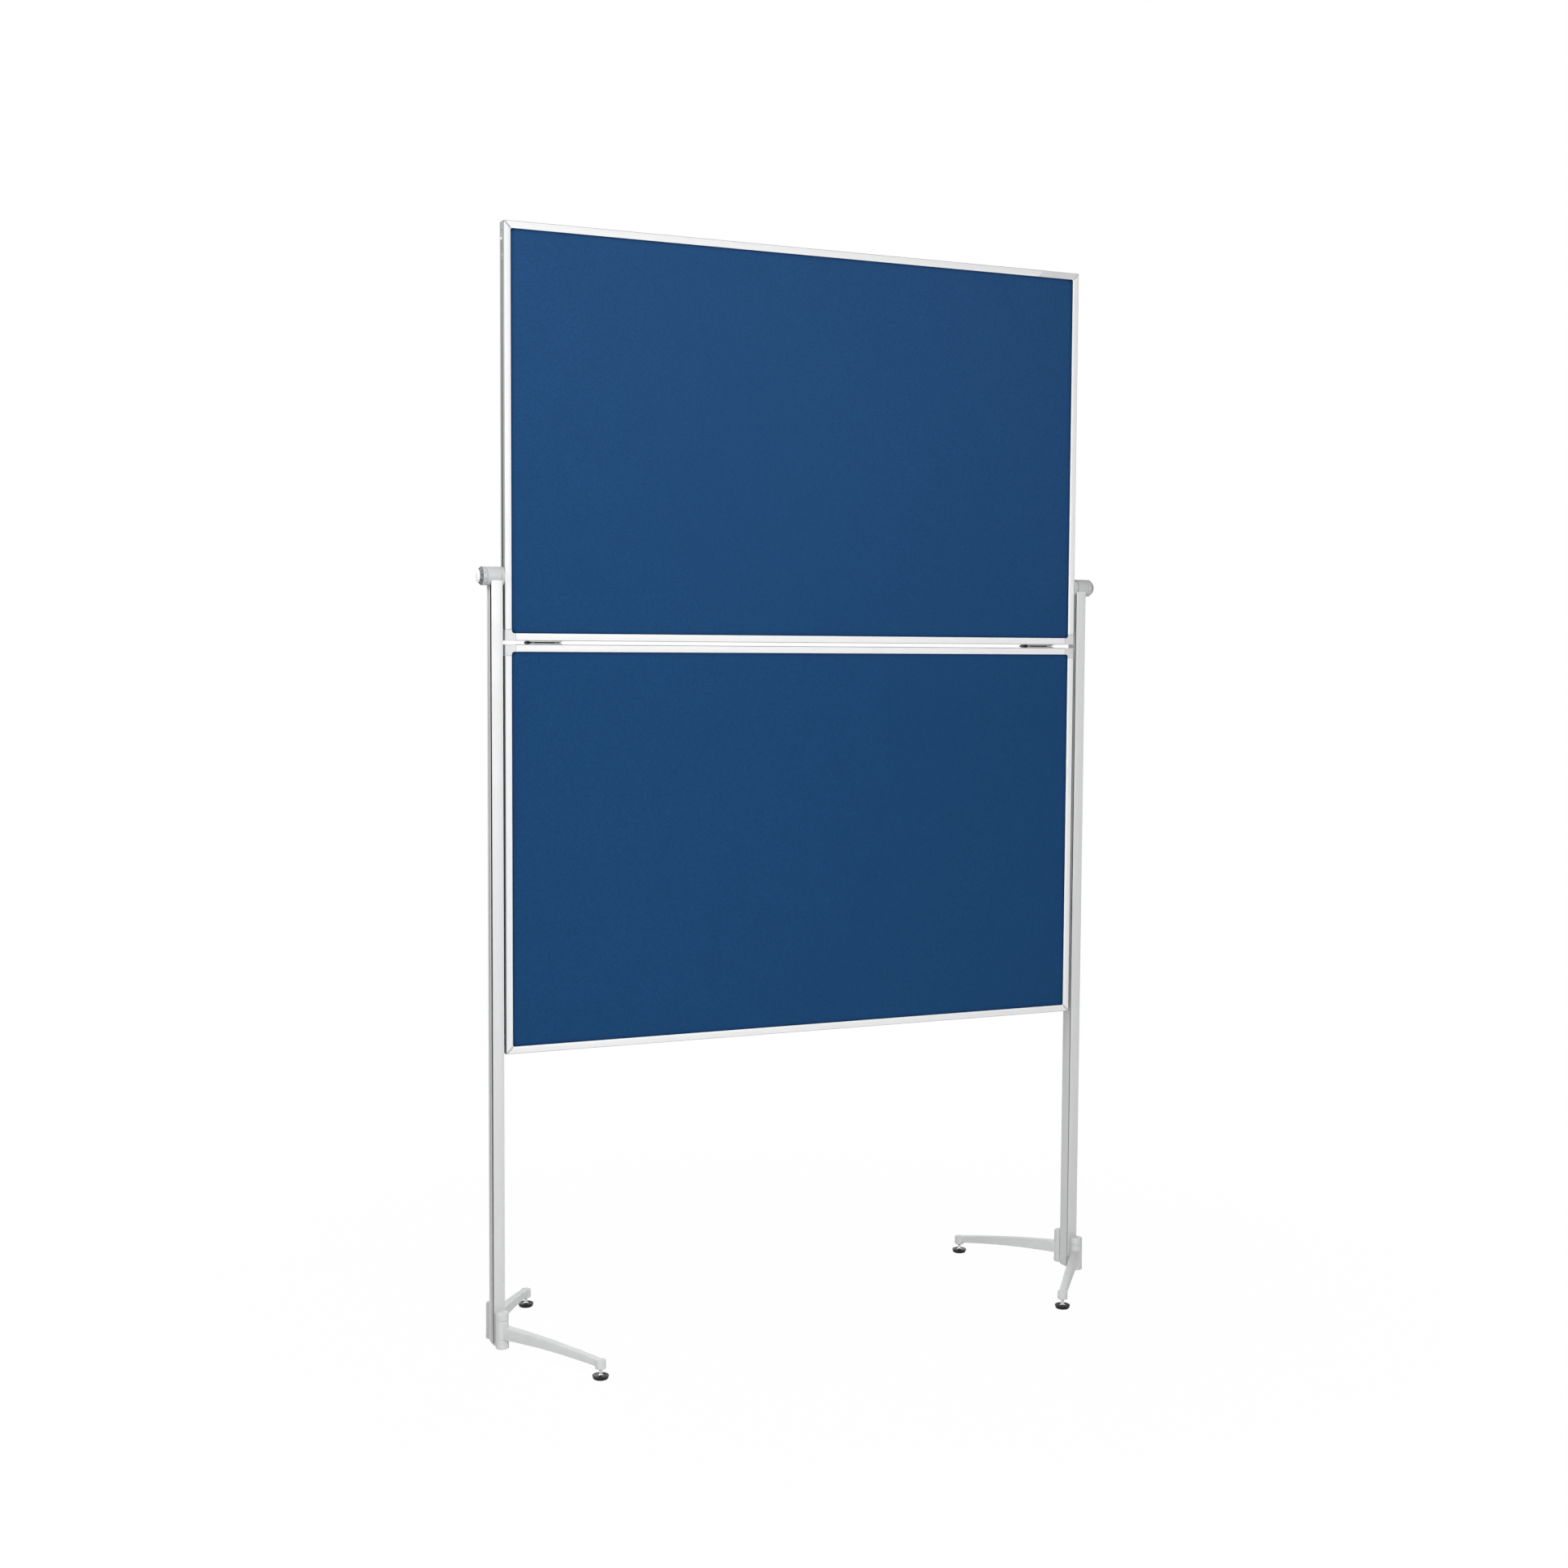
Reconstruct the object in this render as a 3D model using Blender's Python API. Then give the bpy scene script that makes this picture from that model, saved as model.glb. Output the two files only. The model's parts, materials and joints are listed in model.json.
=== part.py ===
# Folding mobile pinboard: two framed felt panels hinged one above the other, held between two
# posts by a clamp on each, with two swivelling arms and levelling feet at the foot of each post.
# Metres, +Z up. X runs along the board, the front is -Y, and the floor under the pads is z = 0.

import math

import bmesh
import bpy

# Fits
SEAT = 0.0003                 # gap between pieces that touch
MITRE_SEAT = 0.0002           # each mitred end stops this far short of the corner's diagonal
OVERRUN = 0.002               # how far a cutter runs past what it cuts

# Board and panels
BOARD_WIDTH = 1.200
PANEL_HEIGHT = 0.7465
PANEL_GAP = 0.007             # between the two panels, where the hinges sit
BOARD_BOTTOM_Z = 0.550        # lower edge of the open board
CORE_THICKNESS = 0.0174
FELT_THICKNESS = 0.0015
FELT_TUCK_DEPTH = 0.0004      # how far the felt's border is drawn in, to pass under the frame
FELT_TUCK_WIDTH = 0.003       # drawn-in border that shows beside the frame

# Frame extrusion of the panels
LIP_THICKNESS = 0.0017        # front and back lip, from the board's slot to the face
LIP_SLOPE_WIDTH = 0.003       # sloped inner edge of the lip
LIP_TIP = 0.0006              # thickness that is left at the lip's edge
SLOT_DEPTH = 0.005            # how far the board sits in the frame
FRAME_WEB = 0.002             # between the board's slot and the outer groove
FRAME_ROUND = 0.002
GROOVE_MOUTH = 0.0054
GROOVE_CAVITY = 0.0094
GROOVE_LIP = 0.0016
GROOVE_DEPTH = 0.006

# Moulded corners at the hinge edge, and corner plugs at the outer corners
CORNER_SIZE = 0.020
CORNER_FILLET = 0.005
PLUG_LENGTH = 0.033
BUTTON_SETBACK = 0.028        # button's centre from the panel's outer edge
BUTTON_RADIUS = 0.0045
BUTTON_NECK_RADIUS = 0.0022
BUTTON_HEIGHT = 0.004
BUTTON_CHAMFER = 0.0009

# Butt hinges
HINGE_LENGTH = 0.065
HINGE_INSET = 0.045           # from the board's side to the hinge
LEAF_THICKNESS = 0.0024
LEAF_DEPTH = 0.0225
BARREL_CLEAR = 0.0005         # barrel to the back face of the frame
HINGE_PIN_RADIUS = 0.0018
HINGE_KNUCKLES = 5

# Posts
POST_WIDTH = 0.021
POST_DEPTH = 0.031
POST_CLEAR = 0.0045           # board's side to the post
POST_ROUND = 0.0022
POST_WALL = 0.002
POST_GROOVE_WIDTH = 0.0086
POST_GROOVE_DEPTH = 0.0035
POST_GROOVE_SETBACK = 0.0022  # from the post's front face
POST_LINE_PLACE = 0.0030      # shallow line, behind the middle of the post's side
POST_LINE_WIDTH = 0.0026
POST_LINE_DEPTH = 0.0008
END_CAP_THICKNESS = 0.0025
END_CAP_SPIGOT = 0.012

# Height clamps
CLAMP_RISE = 0.119            # clamp's axis above the fold between the panels
CLAMP_RADIUS = 0.017
FLANGE_LENGTH = 0.006
FLANGE_LINE = 0.0008          # shadow line between the flange and the housing
HOUSING_OVERHANG = 0.0065     # past the post's outer side
HOUSING_SPIGOT = 0.022        # below the drum, down inside the post
SHANK_RADIUS = 0.0024
BOLT_HEAD_LENGTH = 0.014
KNOB_RING_LENGTH = 0.0077
KNOB_CHAMFER_LENGTH = 0.005
KNOB_NOSE_RADIUS = 0.0128
KNOB_FLUTES = 10
KNOB_FLUTE_DEPTH = 0.0012
KNOB_EDGE = 0.0006
KNOB_CAP_HEIGHT = 0.0047

# Hub brackets and arms
HUB_RADIUS = 0.0118
HUB_BOTTOM_Z = 0.0125
HUB_ROUND = 0.003
LOWER_LUG_HEIGHT = 0.0177
LOWER_LUG_FLARE = 0.0006      # wider at its foot than at the knuckle
KNUCKLE_HEIGHT = 0.0345
UPPER_LUG_HEIGHT = 0.0142
HUB_WEB_WIDTH = 0.014
HUB_WEB_THICKNESS = 0.0036
HUB_PIN_RADIUS = 0.004
ARM_LENGTH = 0.2265           # hub pin to levelling stud
ARM_ROOT_WIDTH = 0.0165
ARM_TIP_WIDTH = 0.0135
ARM_ROOT_HEIGHT = 0.0235
ARM_TIP_HEIGHT = 0.0125
ARM_EDGE = 0.0016
ARM_TOP_ARCH = 0.0015
ARM_UNDER_ARCH = 0.0025
BOSS_RADIUS = 0.0096
BOSS_HEIGHT = 0.016
BOSS_ROUND = 0.0016
BOSS_ROOF = 0.002             # over the stud's bore
LEFT_ARM_ANGLE = math.radians(57)   # from the board's plane, as the arms stand open
RIGHT_ARM_ANGLE = math.radians(51)

# Levelling feet
PAD_RADIUS = 0.0148
PAD_HEIGHT = 0.007
PAD_TAPER = 0.0012
PAD_EDGE = 0.001
PAD_RIM = 0.0028              # from the pad's outer edge in to its dish
PAD_DISH_DEPTH = 0.0012
STUD_RADIUS = 0.0032
STUD_EXPOSED = 0.0115         # pad's top to the arm's boss
STUD_ENGAGED = 0.006          # length in the boss
STUD_FLARE_RADIUS = 0.0053
STUD_FLARE_HEIGHT = 0.0035
STUD_FLARE_EDGE = 0.0008

# Counts of sides on round pieces
FINE_SIDES = 32
ROUND_SIDES = 20
SMALL_SIDES = 12
FLUTE_SIDES = 4
ARC_STEPS = 3

# Worked out from the sizes above
FRAME_FACE = GROOVE_DEPTH + FRAME_WEB + SLOT_DEPTH
SLOT_HALF = CORE_THICKNESS / 2 + SEAT + FELT_THICKNESS + SEAT
FRAME_HALF_DEPTH = SLOT_HALF + LIP_THICKNESS
BARREL_RADIUS = PANEL_GAP / 2
BOARD_HALF = BOARD_WIDTH / 2
FOLD_Z = BOARD_BOTTOM_Z + PANEL_HEIGHT + PANEL_GAP / 2
FOLD_Y = FRAME_HALF_DEPTH + BARREL_CLEAR + BARREL_RADIUS
BOARD_INSET = FRAME_FACE - SLOT_DEPTH + SEAT
POST_INNER = BOARD_HALF + POST_CLEAR
POST_OUTER = POST_INNER + POST_WIDTH
POST_CENTRE = POST_INNER + POST_WIDTH / 2
POST_BOTTOM_Z = HUB_BOTTOM_Z + END_CAP_THICKNESS + SEAT
CLAMP_Z = FOLD_Z + CLAMP_RISE
POST_TOP_Z = CLAMP_Z
KNOB_START = POST_OUTER + HOUSING_OVERHANG + SEAT
KNOB_END = KNOB_START + KNOB_RING_LENGTH + KNOB_CHAMFER_LENGTH
KNOB_CAP_RADIUS = KNOB_NOSE_RADIUS - KNOB_EDGE
PAD_DISH_RADIUS = PAD_RADIUS - PAD_RIM
PIVOT_OUT = POST_DEPTH / 2 + SEAT + HUB_WEB_THICKNESS + SEAT + HUB_RADIUS
KNUCKLE_BOTTOM_Z = HUB_BOTTOM_Z + LOWER_LUG_HEIGHT + SEAT
KNUCKLE_TOP_Z = KNUCKLE_BOTTOM_Z + KNUCKLE_HEIGHT
UPPER_LUG_Z = KNUCKLE_TOP_Z + SEAT
HUB_TOP_Z = UPPER_LUG_Z + UPPER_LUG_HEIGHT
BOSS_BOTTOM_Z = PAD_HEIGHT + STUD_EXPOSED
BOSS_TOP_Z = BOSS_BOTTOM_Z + BOSS_HEIGHT

# Colours and finishes: colour, roughness, metallic
WHITE_FRAME = ((0.86, 0.86, 0.87), 0.38, 0.0)
PALE_MOULDING = ((0.74, 0.75, 0.76), 0.5, 0.0)
BLUE_FELT = ((0.016, 0.062, 0.165), 0.95, 0.0)
BOARD_FIBRE = ((0.52, 0.42, 0.30), 0.9, 0.0)
POST_SILVER = ((0.70, 0.71, 0.72), 0.42, 0.35)
CAST_GREY = ((0.60, 0.61, 0.62), 0.5, 0.2)
KNOB_GREY = ((0.22, 0.23, 0.24), 0.45, 0.0)
CAP_WHITE = ((0.88, 0.88, 0.88), 0.35, 0.0)
BRIGHT_STEEL = ((0.78, 0.78, 0.79), 0.22, 1.0)
BLACK_RUBBER = ((0.012, 0.012, 0.013), 0.7, 0.0)


def paint(piece, look):
    colour, roughness, metallic = look
    material = bpy.data.materials.new(piece.name + "_finish")
    material.use_nodes = True
    shader = material.node_tree.nodes["Principled BSDF"]
    shader.inputs["Base Color"].default_value = (*colour, 1.0)
    shader.inputs["Roughness"].default_value = roughness
    shader.inputs["Metallic"].default_value = metallic
    piece.data.materials.clear()
    piece.data.materials.append(material)


def loft(name, loops):
    # Closed loops with equal counts of points, joined in order, with a flat cap on each end.
    shape = bmesh.new()
    rings = [[shape.verts.new(point) for point in loop] for loop in loops]
    for low, high in zip(rings, rings[1:]):
        for here in range(len(low)):
            there = (here + 1) % len(low)
            shape.faces.new((low[here], low[there], high[there], high[here]))
    shape.faces.new(list(reversed(rings[0])))
    shape.faces.new(rings[-1])
    bmesh.ops.recalc_face_normals(shape, faces=shape.faces)
    mesh = bpy.data.meshes.new(name)
    shape.to_mesh(mesh)
    shape.free()
    piece = bpy.data.objects.new(name, mesh)
    bpy.context.scene.collection.objects.link(piece)
    return piece


def box(name, low, high):
    (x0, y0, z0), (x1, y1, z1) = low, high
    corners = ((x0, y0), (x1, y0), (x1, y1), (x0, y1))
    return loft(name, [[(x, y, z) for x, y in corners] for z in (z0, z1)])


def turned(name, profile, centre, direction, sides, radius_at=None):
    # A profile of (distance along the axis, radius), turned about an axis through the centre.
    loops = []
    for index, (along, radius) in enumerate(profile):
        loop = []
        for step in range(sides):
            angle = 2 * math.pi * step / sides
            reach = radius_at(index, radius, angle) if radius_at else radius
            a, b = reach * math.cos(angle), reach * math.sin(angle)
            offset = {"X": (along, a, b), "Y": (b, along, a), "Z": (a, b, along)}[direction]
            loop.append(tuple(c + o for c, o in zip(centre, offset)))
        loops.append(loop)
    return loft(name, loops)


def combine(piece, tool, operation):
    # One Boolean step, applied at once, after which the tool is taken away.
    step = piece.modifiers.new("step", "BOOLEAN")
    step.operation = operation
    step.solver = "EXACT"
    step.object = tool
    bpy.context.view_layer.update()
    graph = bpy.context.evaluated_depsgraph_get()
    mesh = bpy.data.meshes.new_from_object(piece.evaluated_get(graph))
    piece.modifiers.clear()
    piece.data = mesh
    bpy.data.objects.remove(tool, do_unlink=True)
    return piece


def cut(piece, tool):
    return combine(piece, tool, "DIFFERENCE")


def join(piece, tool):
    return combine(piece, tool, "UNION")


def arc(centre, radius, start, end, steps=ARC_STEPS):
    # Points along an arc, both ends included, with angles in quarter turns.
    points = []
    for step in range(steps + 1):
        angle = (start + (end - start) * step / steps) * math.pi / 2
        points.append((centre[0] + radius * math.cos(angle), centre[1] + radius * math.sin(angle)))
    return points


def smooth(piece):
    piece.data.shade_smooth()
    piece.data.set_sharp_from_angle(angle=math.radians(32))


def settle(piece, look, origin, parent=None):
    # The piece's own origin goes to the given point, and the piece hangs on its parent there.
    for vertex in piece.data.vertices:
        vertex.co = [value - shift for value, shift in zip(vertex.co, origin)]
    if parent:
        piece.parent = parent
        piece.location = [value - shift for value, shift in zip(origin, parent.location)]
    else:
        piece.location = origin
    smooth(piece)
    paint(piece, look)
    return piece


def pivot(name, place, turn=0.0):
    empty = bpy.data.objects.new(name, None)
    empty.location = place
    empty.rotation_euler = (0, 0, turn)
    bpy.context.scene.collection.objects.link(empty)
    return empty


def frame_half_section():
    # Half of the frame extrusion: u inward from the outer edge, v out from the middle plane.
    face = FRAME_HALF_DEPTH
    return [
        (GROOVE_DEPTH, 0),
        (GROOVE_DEPTH, GROOVE_CAVITY / 2),
        (GROOVE_LIP, GROOVE_CAVITY / 2),
        (GROOVE_LIP, GROOVE_MOUTH / 2),
        (0, GROOVE_MOUTH / 2),
        *arc((FRAME_ROUND, face - FRAME_ROUND), FRAME_ROUND, 2, 1),
        (FRAME_FACE - LIP_SLOPE_WIDTH, face),
        (FRAME_FACE, SLOT_HALF + LIP_TIP),
        (FRAME_FACE, SLOT_HALF),
        (FRAME_FACE - SLOT_DEPTH, SLOT_HALF),
        (FRAME_FACE - SLOT_DEPTH, 0),
    ]


def frame_section():
    half = frame_half_section()
    other = [(u, -v) for u, v in reversed(half[1:-1])]
    return half + other


def bar(name, section, start, end, place):
    # A section of (u, v) run along s, with each end's place given as a function of u.
    loops = [[place(u, v, stop(u)) for u, v in section] for stop in (start, end)]
    return loft(name, loops)


def square_end(at):
    return lambda u: at


def mitred_end(at, sign):
    # The run ends on the corner's diagonal, so it is shorter the further in the point lies.
    return lambda u: at - sign * (u + MITRE_SEAT)


def panel_z(flip, out):
    # Height of a place that lies this far from the hinge edge of the upper (+1) or lower (-1) panel.
    return FOLD_Z + flip * (PANEL_GAP / 2 + out)


def hinge_rail(name, flip):
    half = BOARD_HALF - CORNER_SIZE - SEAT
    ends = square_end(-half), square_end(half)
    return bar(name, frame_section(), *ends, lambda u, v, s: (s, v, panel_z(flip, u)))


def outer_rail(name, flip):
    ends = mitred_end(-BOARD_HALF, -1), mitred_end(BOARD_HALF, 1)
    return bar(name, frame_section(), *ends, lambda u, v, s: (s, v, panel_z(flip, PANEL_HEIGHT - u)))


def stile(name, flip, side):
    ends = square_end(CORNER_SIZE + SEAT), mitred_end(PANEL_HEIGHT, 1)
    return bar(name, frame_section(), *ends, lambda u, v, s: (side * (BOARD_HALF - u), v, panel_z(flip, s)))


def moulded_corner(name, flip, side):
    # A block the size of the frame with a hollow inner round, slotted for the board's corner.
    centre = FRAME_FACE + CORNER_FILLET
    fillet = arc((centre, centre), CORNER_FILLET, 3, 2)
    inner = [(CORNER_SIZE, FRAME_FACE), *fillet, (FRAME_FACE, CORNER_SIZE)]

    def outline(inset):
        return [(inset, inset), (CORNER_SIZE, inset), *inner, (inset, CORNER_SIZE)]

    edge = arc((FRAME_ROUND, FRAME_HALF_DEPTH - FRAME_ROUND), FRAME_ROUND, 1, 2)
    steps = edge + [(inset, -v) for inset, v in reversed(edge)]
    loops = [
        [(side * (BOARD_HALF - a), v, panel_z(flip, b)) for a, b in outline(inset)]
        for inset, v in steps
    ]
    block = loft(name, loops)
    near = FRAME_FACE - SLOT_DEPTH
    far = CORNER_SIZE + OVERRUN
    xs = sorted((side * (BOARD_HALF - near), side * (BOARD_HALF - far)))
    zs = sorted((panel_z(flip, near), panel_z(flip, far)))
    slot = box("slot", (xs[0], -SLOT_HALF, zs[0]), (xs[1], SLOT_HALF, zs[1]))
    return cut(block, slot)


def corner_plug(name, flip, side):
    # Fills the end of the stile's groove, mitred like the stile, with a round button on it.
    neck = GROOVE_MOUTH / 2 - SEAT
    head = GROOVE_CAVITY / 2 - SEAT
    shoulder = GROOVE_LIP + SEAT
    floor = GROOVE_DEPTH - SEAT
    half = [(0, neck), (shoulder, neck), (shoulder, head), (floor, head)]
    section = half + [(u, -v) for u, v in reversed(half)]
    ends = square_end(PANEL_HEIGHT - PLUG_LENGTH), mitred_end(PANEL_HEIGHT - SEAT, 1)
    plug = bar(name, section, *ends, lambda u, v, s: (side * (BOARD_HALF - u), v, panel_z(flip, s)))
    outer = BUTTON_HEIGHT
    profile = [
        (-shoulder, BUTTON_NECK_RADIUS),
        (SEAT, BUTTON_NECK_RADIUS),
        (SEAT, BUTTON_RADIUS),
        (outer - BUTTON_CHAMFER, BUTTON_RADIUS),
        (outer, BUTTON_RADIUS - BUTTON_CHAMFER),
    ]
    profile = [(side * along, radius) for along, radius in profile]
    centre = (side * BOARD_HALF, 0, panel_z(flip, PANEL_HEIGHT - BUTTON_SETBACK))
    return join(plug, turned("button", profile, centre, "X", SMALL_SIDES))


def board_loop(flip, inset, y):
    # The four corners of the board at this inset from the panel's edges.
    x = BOARD_HALF - inset
    low, high = panel_z(flip, inset), panel_z(flip, PANEL_HEIGHT - inset)
    return [(-x, y, low), (x, y, low), (x, y, high), (-x, y, high)]


def board_core(name, flip):
    half = CORE_THICKNESS / 2
    return loft(name, [board_loop(flip, BOARD_INSET, y) for y in (-half, half)])


def felt(name, flip, face):
    # Bonded to the core, on the front (-1) or back (+1), and drawn in all round to pass under the frame.
    near = CORE_THICKNESS / 2 + SEAT
    far = near + FELT_THICKNESS
    border = FRAME_FACE + SEAT
    steps = [
        (BOARD_INSET, near),
        (BOARD_INSET, far - FELT_TUCK_DEPTH),
        (border, far - FELT_TUCK_DEPTH),
        (border + FELT_TUCK_WIDTH, far),
    ]
    return loft(name, [board_loop(flip, inset, face * out) for inset, out in steps])


def panel(word, flip, origin, parent):
    # word names the panel; the outer rail is the top of the upper and the foot of the lower one.
    outer, inner = ("top", "bottom") if flip > 0 else ("bottom", "top")
    settle(outer_rail(f"{word}_{outer}_rail", flip), WHITE_FRAME, origin, parent)
    settle(hinge_rail(f"{word}_{inner}_rail", flip), WHITE_FRAME, origin, parent)
    settle(board_core(f"{word}_board_core", flip), BOARD_FIBRE, origin, parent)
    settle(felt(f"{word}_front_felt", flip, -1), BLUE_FELT, origin, parent)
    settle(felt(f"{word}_back_felt", flip, 1), BLUE_FELT, origin, parent)
    for hand, side in (("left", -1), ("right", 1)):
        settle(stile(f"{word}_{hand}_stile", flip, side), WHITE_FRAME, origin, parent)
        corner = moulded_corner(f"{word}_{hand}_moulded_corner", flip, side)
        settle(corner, PALE_MOULDING, origin, parent)
        settle(corner_plug(f"{word}_{hand}_corner_plug", flip, side), CAP_WHITE, origin, parent)


def leaf_knuckle(flip, x0, x1):
    # The barrel's ring with the neck that runs on from the leaf, one knuckle long.
    low = PANEL_GAP / 2 - SEAT - LEAF_THICKNESS
    high = low + LEAF_THICKNESS
    start = 2 - math.asin(high / BARREL_RADIUS) / (math.pi / 2)
    end = -2 - math.asin(low / BARREL_RADIUS) / (math.pi / 2)
    neck = FOLD_Y - FRAME_HALF_DEPTH + OVERRUN
    ring = arc((0, 0), BARREL_RADIUS, start, end, SMALL_SIDES)
    outline = [(-neck, high), *ring, (-neck, low)]
    return loft("knuckle", [[(x, FOLD_Y + y, FOLD_Z + flip * z) for y, z in outline] for x in (x0, x1)])


def hinge_leaf(name, flip, x0):
    low = PANEL_GAP / 2 - SEAT - LEAF_THICKNESS
    zs = sorted((FOLD_Z + flip * low, FOLD_Z + flip * (low + LEAF_THICKNESS)))
    front = FRAME_HALF_DEPTH - LEAF_DEPTH
    leaf = box(name, (x0, front, zs[0]), (x0 + HINGE_LENGTH, FRAME_HALF_DEPTH, zs[1]))
    pitch = HINGE_LENGTH / HINGE_KNUCKLES
    for index in range(0 if flip > 0 else 1, HINGE_KNUCKLES, 2):
        start = x0 + index * pitch + SEAT / 2
        join(leaf, leaf_knuckle(flip, start, start + pitch - SEAT))
    ends = (-OVERRUN, HINGE_PIN_RADIUS + SEAT), (HINGE_LENGTH + OVERRUN, HINGE_PIN_RADIUS + SEAT)
    return cut(leaf, turned("bore", ends, (x0, FOLD_Y, FOLD_Z), "X", SMALL_SIDES))


def hinge(hand, side, lower):
    x0 = BOARD_HALF - HINGE_INSET - HINGE_LENGTH if side > 0 else HINGE_INSET - BOARD_HALF
    fold = (0, FOLD_Y, FOLD_Z)
    settle(hinge_leaf(f"{hand}_hinge_upper_leaf", 1, x0), BRIGHT_STEEL, fold)
    settle(hinge_leaf(f"{hand}_hinge_lower_leaf", -1, x0), BRIGHT_STEEL, fold, lower)
    ends = (0, HINGE_PIN_RADIUS), (HINGE_LENGTH, HINGE_PIN_RADIUS)
    pin = turned(f"{hand}_hinge_pin", ends, (x0, FOLD_Y, FOLD_Z), "X", SMALL_SIDES)
    settle(pin, BRIGHT_STEEL, fold, lower)


def post_side():
    # One side of the post, from its front face to its back, as (distance out from the centre, y).
    x = POST_WIDTH / 2
    front = -POST_DEPTH / 2
    groove = front + POST_GROOVE_SETBACK
    line = POST_LINE_WIDTH / 2
    return [
        *arc((x - POST_ROUND, front + POST_ROUND), POST_ROUND, -1, 0)[:-1],
        (x, groove),
        (x - POST_GROOVE_DEPTH, groove),
        (x - POST_GROOVE_DEPTH, groove + POST_GROOVE_WIDTH),
        (x, groove + POST_GROOVE_WIDTH),
        (x, POST_LINE_PLACE - line),
        (x - POST_LINE_DEPTH, POST_LINE_PLACE),
        (x, POST_LINE_PLACE + line),
        *arc((x - POST_ROUND, -front - POST_ROUND), POST_ROUND, 0, 1),
    ]


def post_cavity(clearance):
    # The hollow of the post: narrow between the grooves, wide behind them.
    narrow = POST_WIDTH / 2 - POST_GROOVE_DEPTH - POST_WALL - clearance
    wide = POST_WIDTH / 2 - POST_WALL - clearance
    front = -POST_DEPTH / 2 + POST_WALL + clearance
    step = -POST_DEPTH / 2 + POST_GROOVE_SETBACK + POST_GROOVE_WIDTH + POST_WALL + clearance
    back = POST_DEPTH / 2 - POST_WALL - clearance
    side = [(narrow, front), (narrow, step), (wide, step), (wide, back)]
    return side + [(-x, y) for x, y in reversed(side)]


def stand(points, side, low, high):
    # Two loops of an outline that stands upright at the post's centre.
    return [[(side * POST_CENTRE + x, y, z) for x, y in points] for z in (low, high)]


def post(name, side):
    half = post_side()
    outline = half + [(-x, y) for x, y in reversed(half)]
    body = loft(name, stand(outline, side, POST_BOTTOM_Z, POST_TOP_Z))
    cut(body, loft("hollow", stand(post_cavity(0), side, POST_BOTTOM_Z - OVERRUN, POST_TOP_Z + OVERRUN)))
    reach = POST_WIDTH / 2 + OVERRUN
    ends = (-reach, CLAMP_RADIUS + SEAT), (reach, CLAMP_RADIUS + SEAT)
    saddle = turned("saddle", ends, (side * POST_CENTRE, 0, CLAMP_Z), "X", FINE_SIDES)
    return cut(body, saddle)


def end_cap(name, side):
    x = POST_WIDTH / 2
    y = POST_DEPTH / 2
    corner = (x - POST_ROUND, y - POST_ROUND)
    quarter = arc(corner, POST_ROUND, 0, 1)
    half = quarter + [(-a, b) for a, b in reversed(quarter)]
    outline = half + [(-a, -b) for a, b in half]
    plate_top = POST_BOTTOM_Z - SEAT
    plate = loft(name, stand(outline, side, plate_top - END_CAP_THICKNESS, plate_top))
    middle = plate_top - END_CAP_THICKNESS / 2
    return join(plate, loft("spigot", stand(post_cavity(SEAT), side, middle, POST_BOTTOM_Z + END_CAP_SPIGOT)))


def clamp_housing(name, side):
    # A drum across the post's top, with its flange against the board and a spigot in the post.
    start = BOARD_HALF + SEAT
    end = POST_OUTER + HOUSING_OVERHANG
    flange = start + FLANGE_LENGTH
    line = flange + FLANGE_LINE
    profile = [
        (start, CLAMP_RADIUS - KNOB_EDGE),
        (start + KNOB_EDGE, CLAMP_RADIUS),
        (flange, CLAMP_RADIUS),
        (flange, CLAMP_RADIUS - FLANGE_LINE),
        (line, CLAMP_RADIUS - FLANGE_LINE),
        (line, CLAMP_RADIUS),
        (end, CLAMP_RADIUS),
    ]
    profile = [(side * along, radius) for along, radius in profile]
    body = turned(name, profile, (0, 0, CLAMP_Z), "X", FINE_SIDES)
    bottom = CLAMP_Z - CLAMP_RADIUS - HOUSING_SPIGOT
    join(body, loft("spigot", stand(post_cavity(SEAT), side, bottom, CLAMP_Z - CLAMP_RADIUS / 2)))
    ends = (start - OVERRUN, SHANK_RADIUS + SEAT), (end + OVERRUN, SHANK_RADIUS + SEAT)
    ends = [(side * along, radius) for along, radius in ends]
    return cut(body, turned("bore", ends, (0, 0, CLAMP_Z), "X", SMALL_SIDES))


def clamp_bolt(name, side):
    # A bolt whose flat head slides in the groove of the upper panel's stile.
    outer = BOARD_HALF - GROOVE_LIP - SEAT
    inner = BOARD_HALF - GROOVE_DEPTH + SEAT
    y = GROOVE_CAVITY / 2 - SEAT
    z = BOLT_HEAD_LENGTH / 2
    xs = sorted((side * inner, side * outer))
    head = box(name, (xs[0], -y, CLAMP_Z - z), (xs[1], y, CLAMP_Z + z))
    tip = KNOB_START + KNOB_RING_LENGTH
    ends = (side * (inner + outer) / 2, SHANK_RADIUS), (side * tip, SHANK_RADIUS)
    return join(head, turned("shank", ends, (0, 0, CLAMP_Z), "X", SMALL_SIDES))


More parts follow.
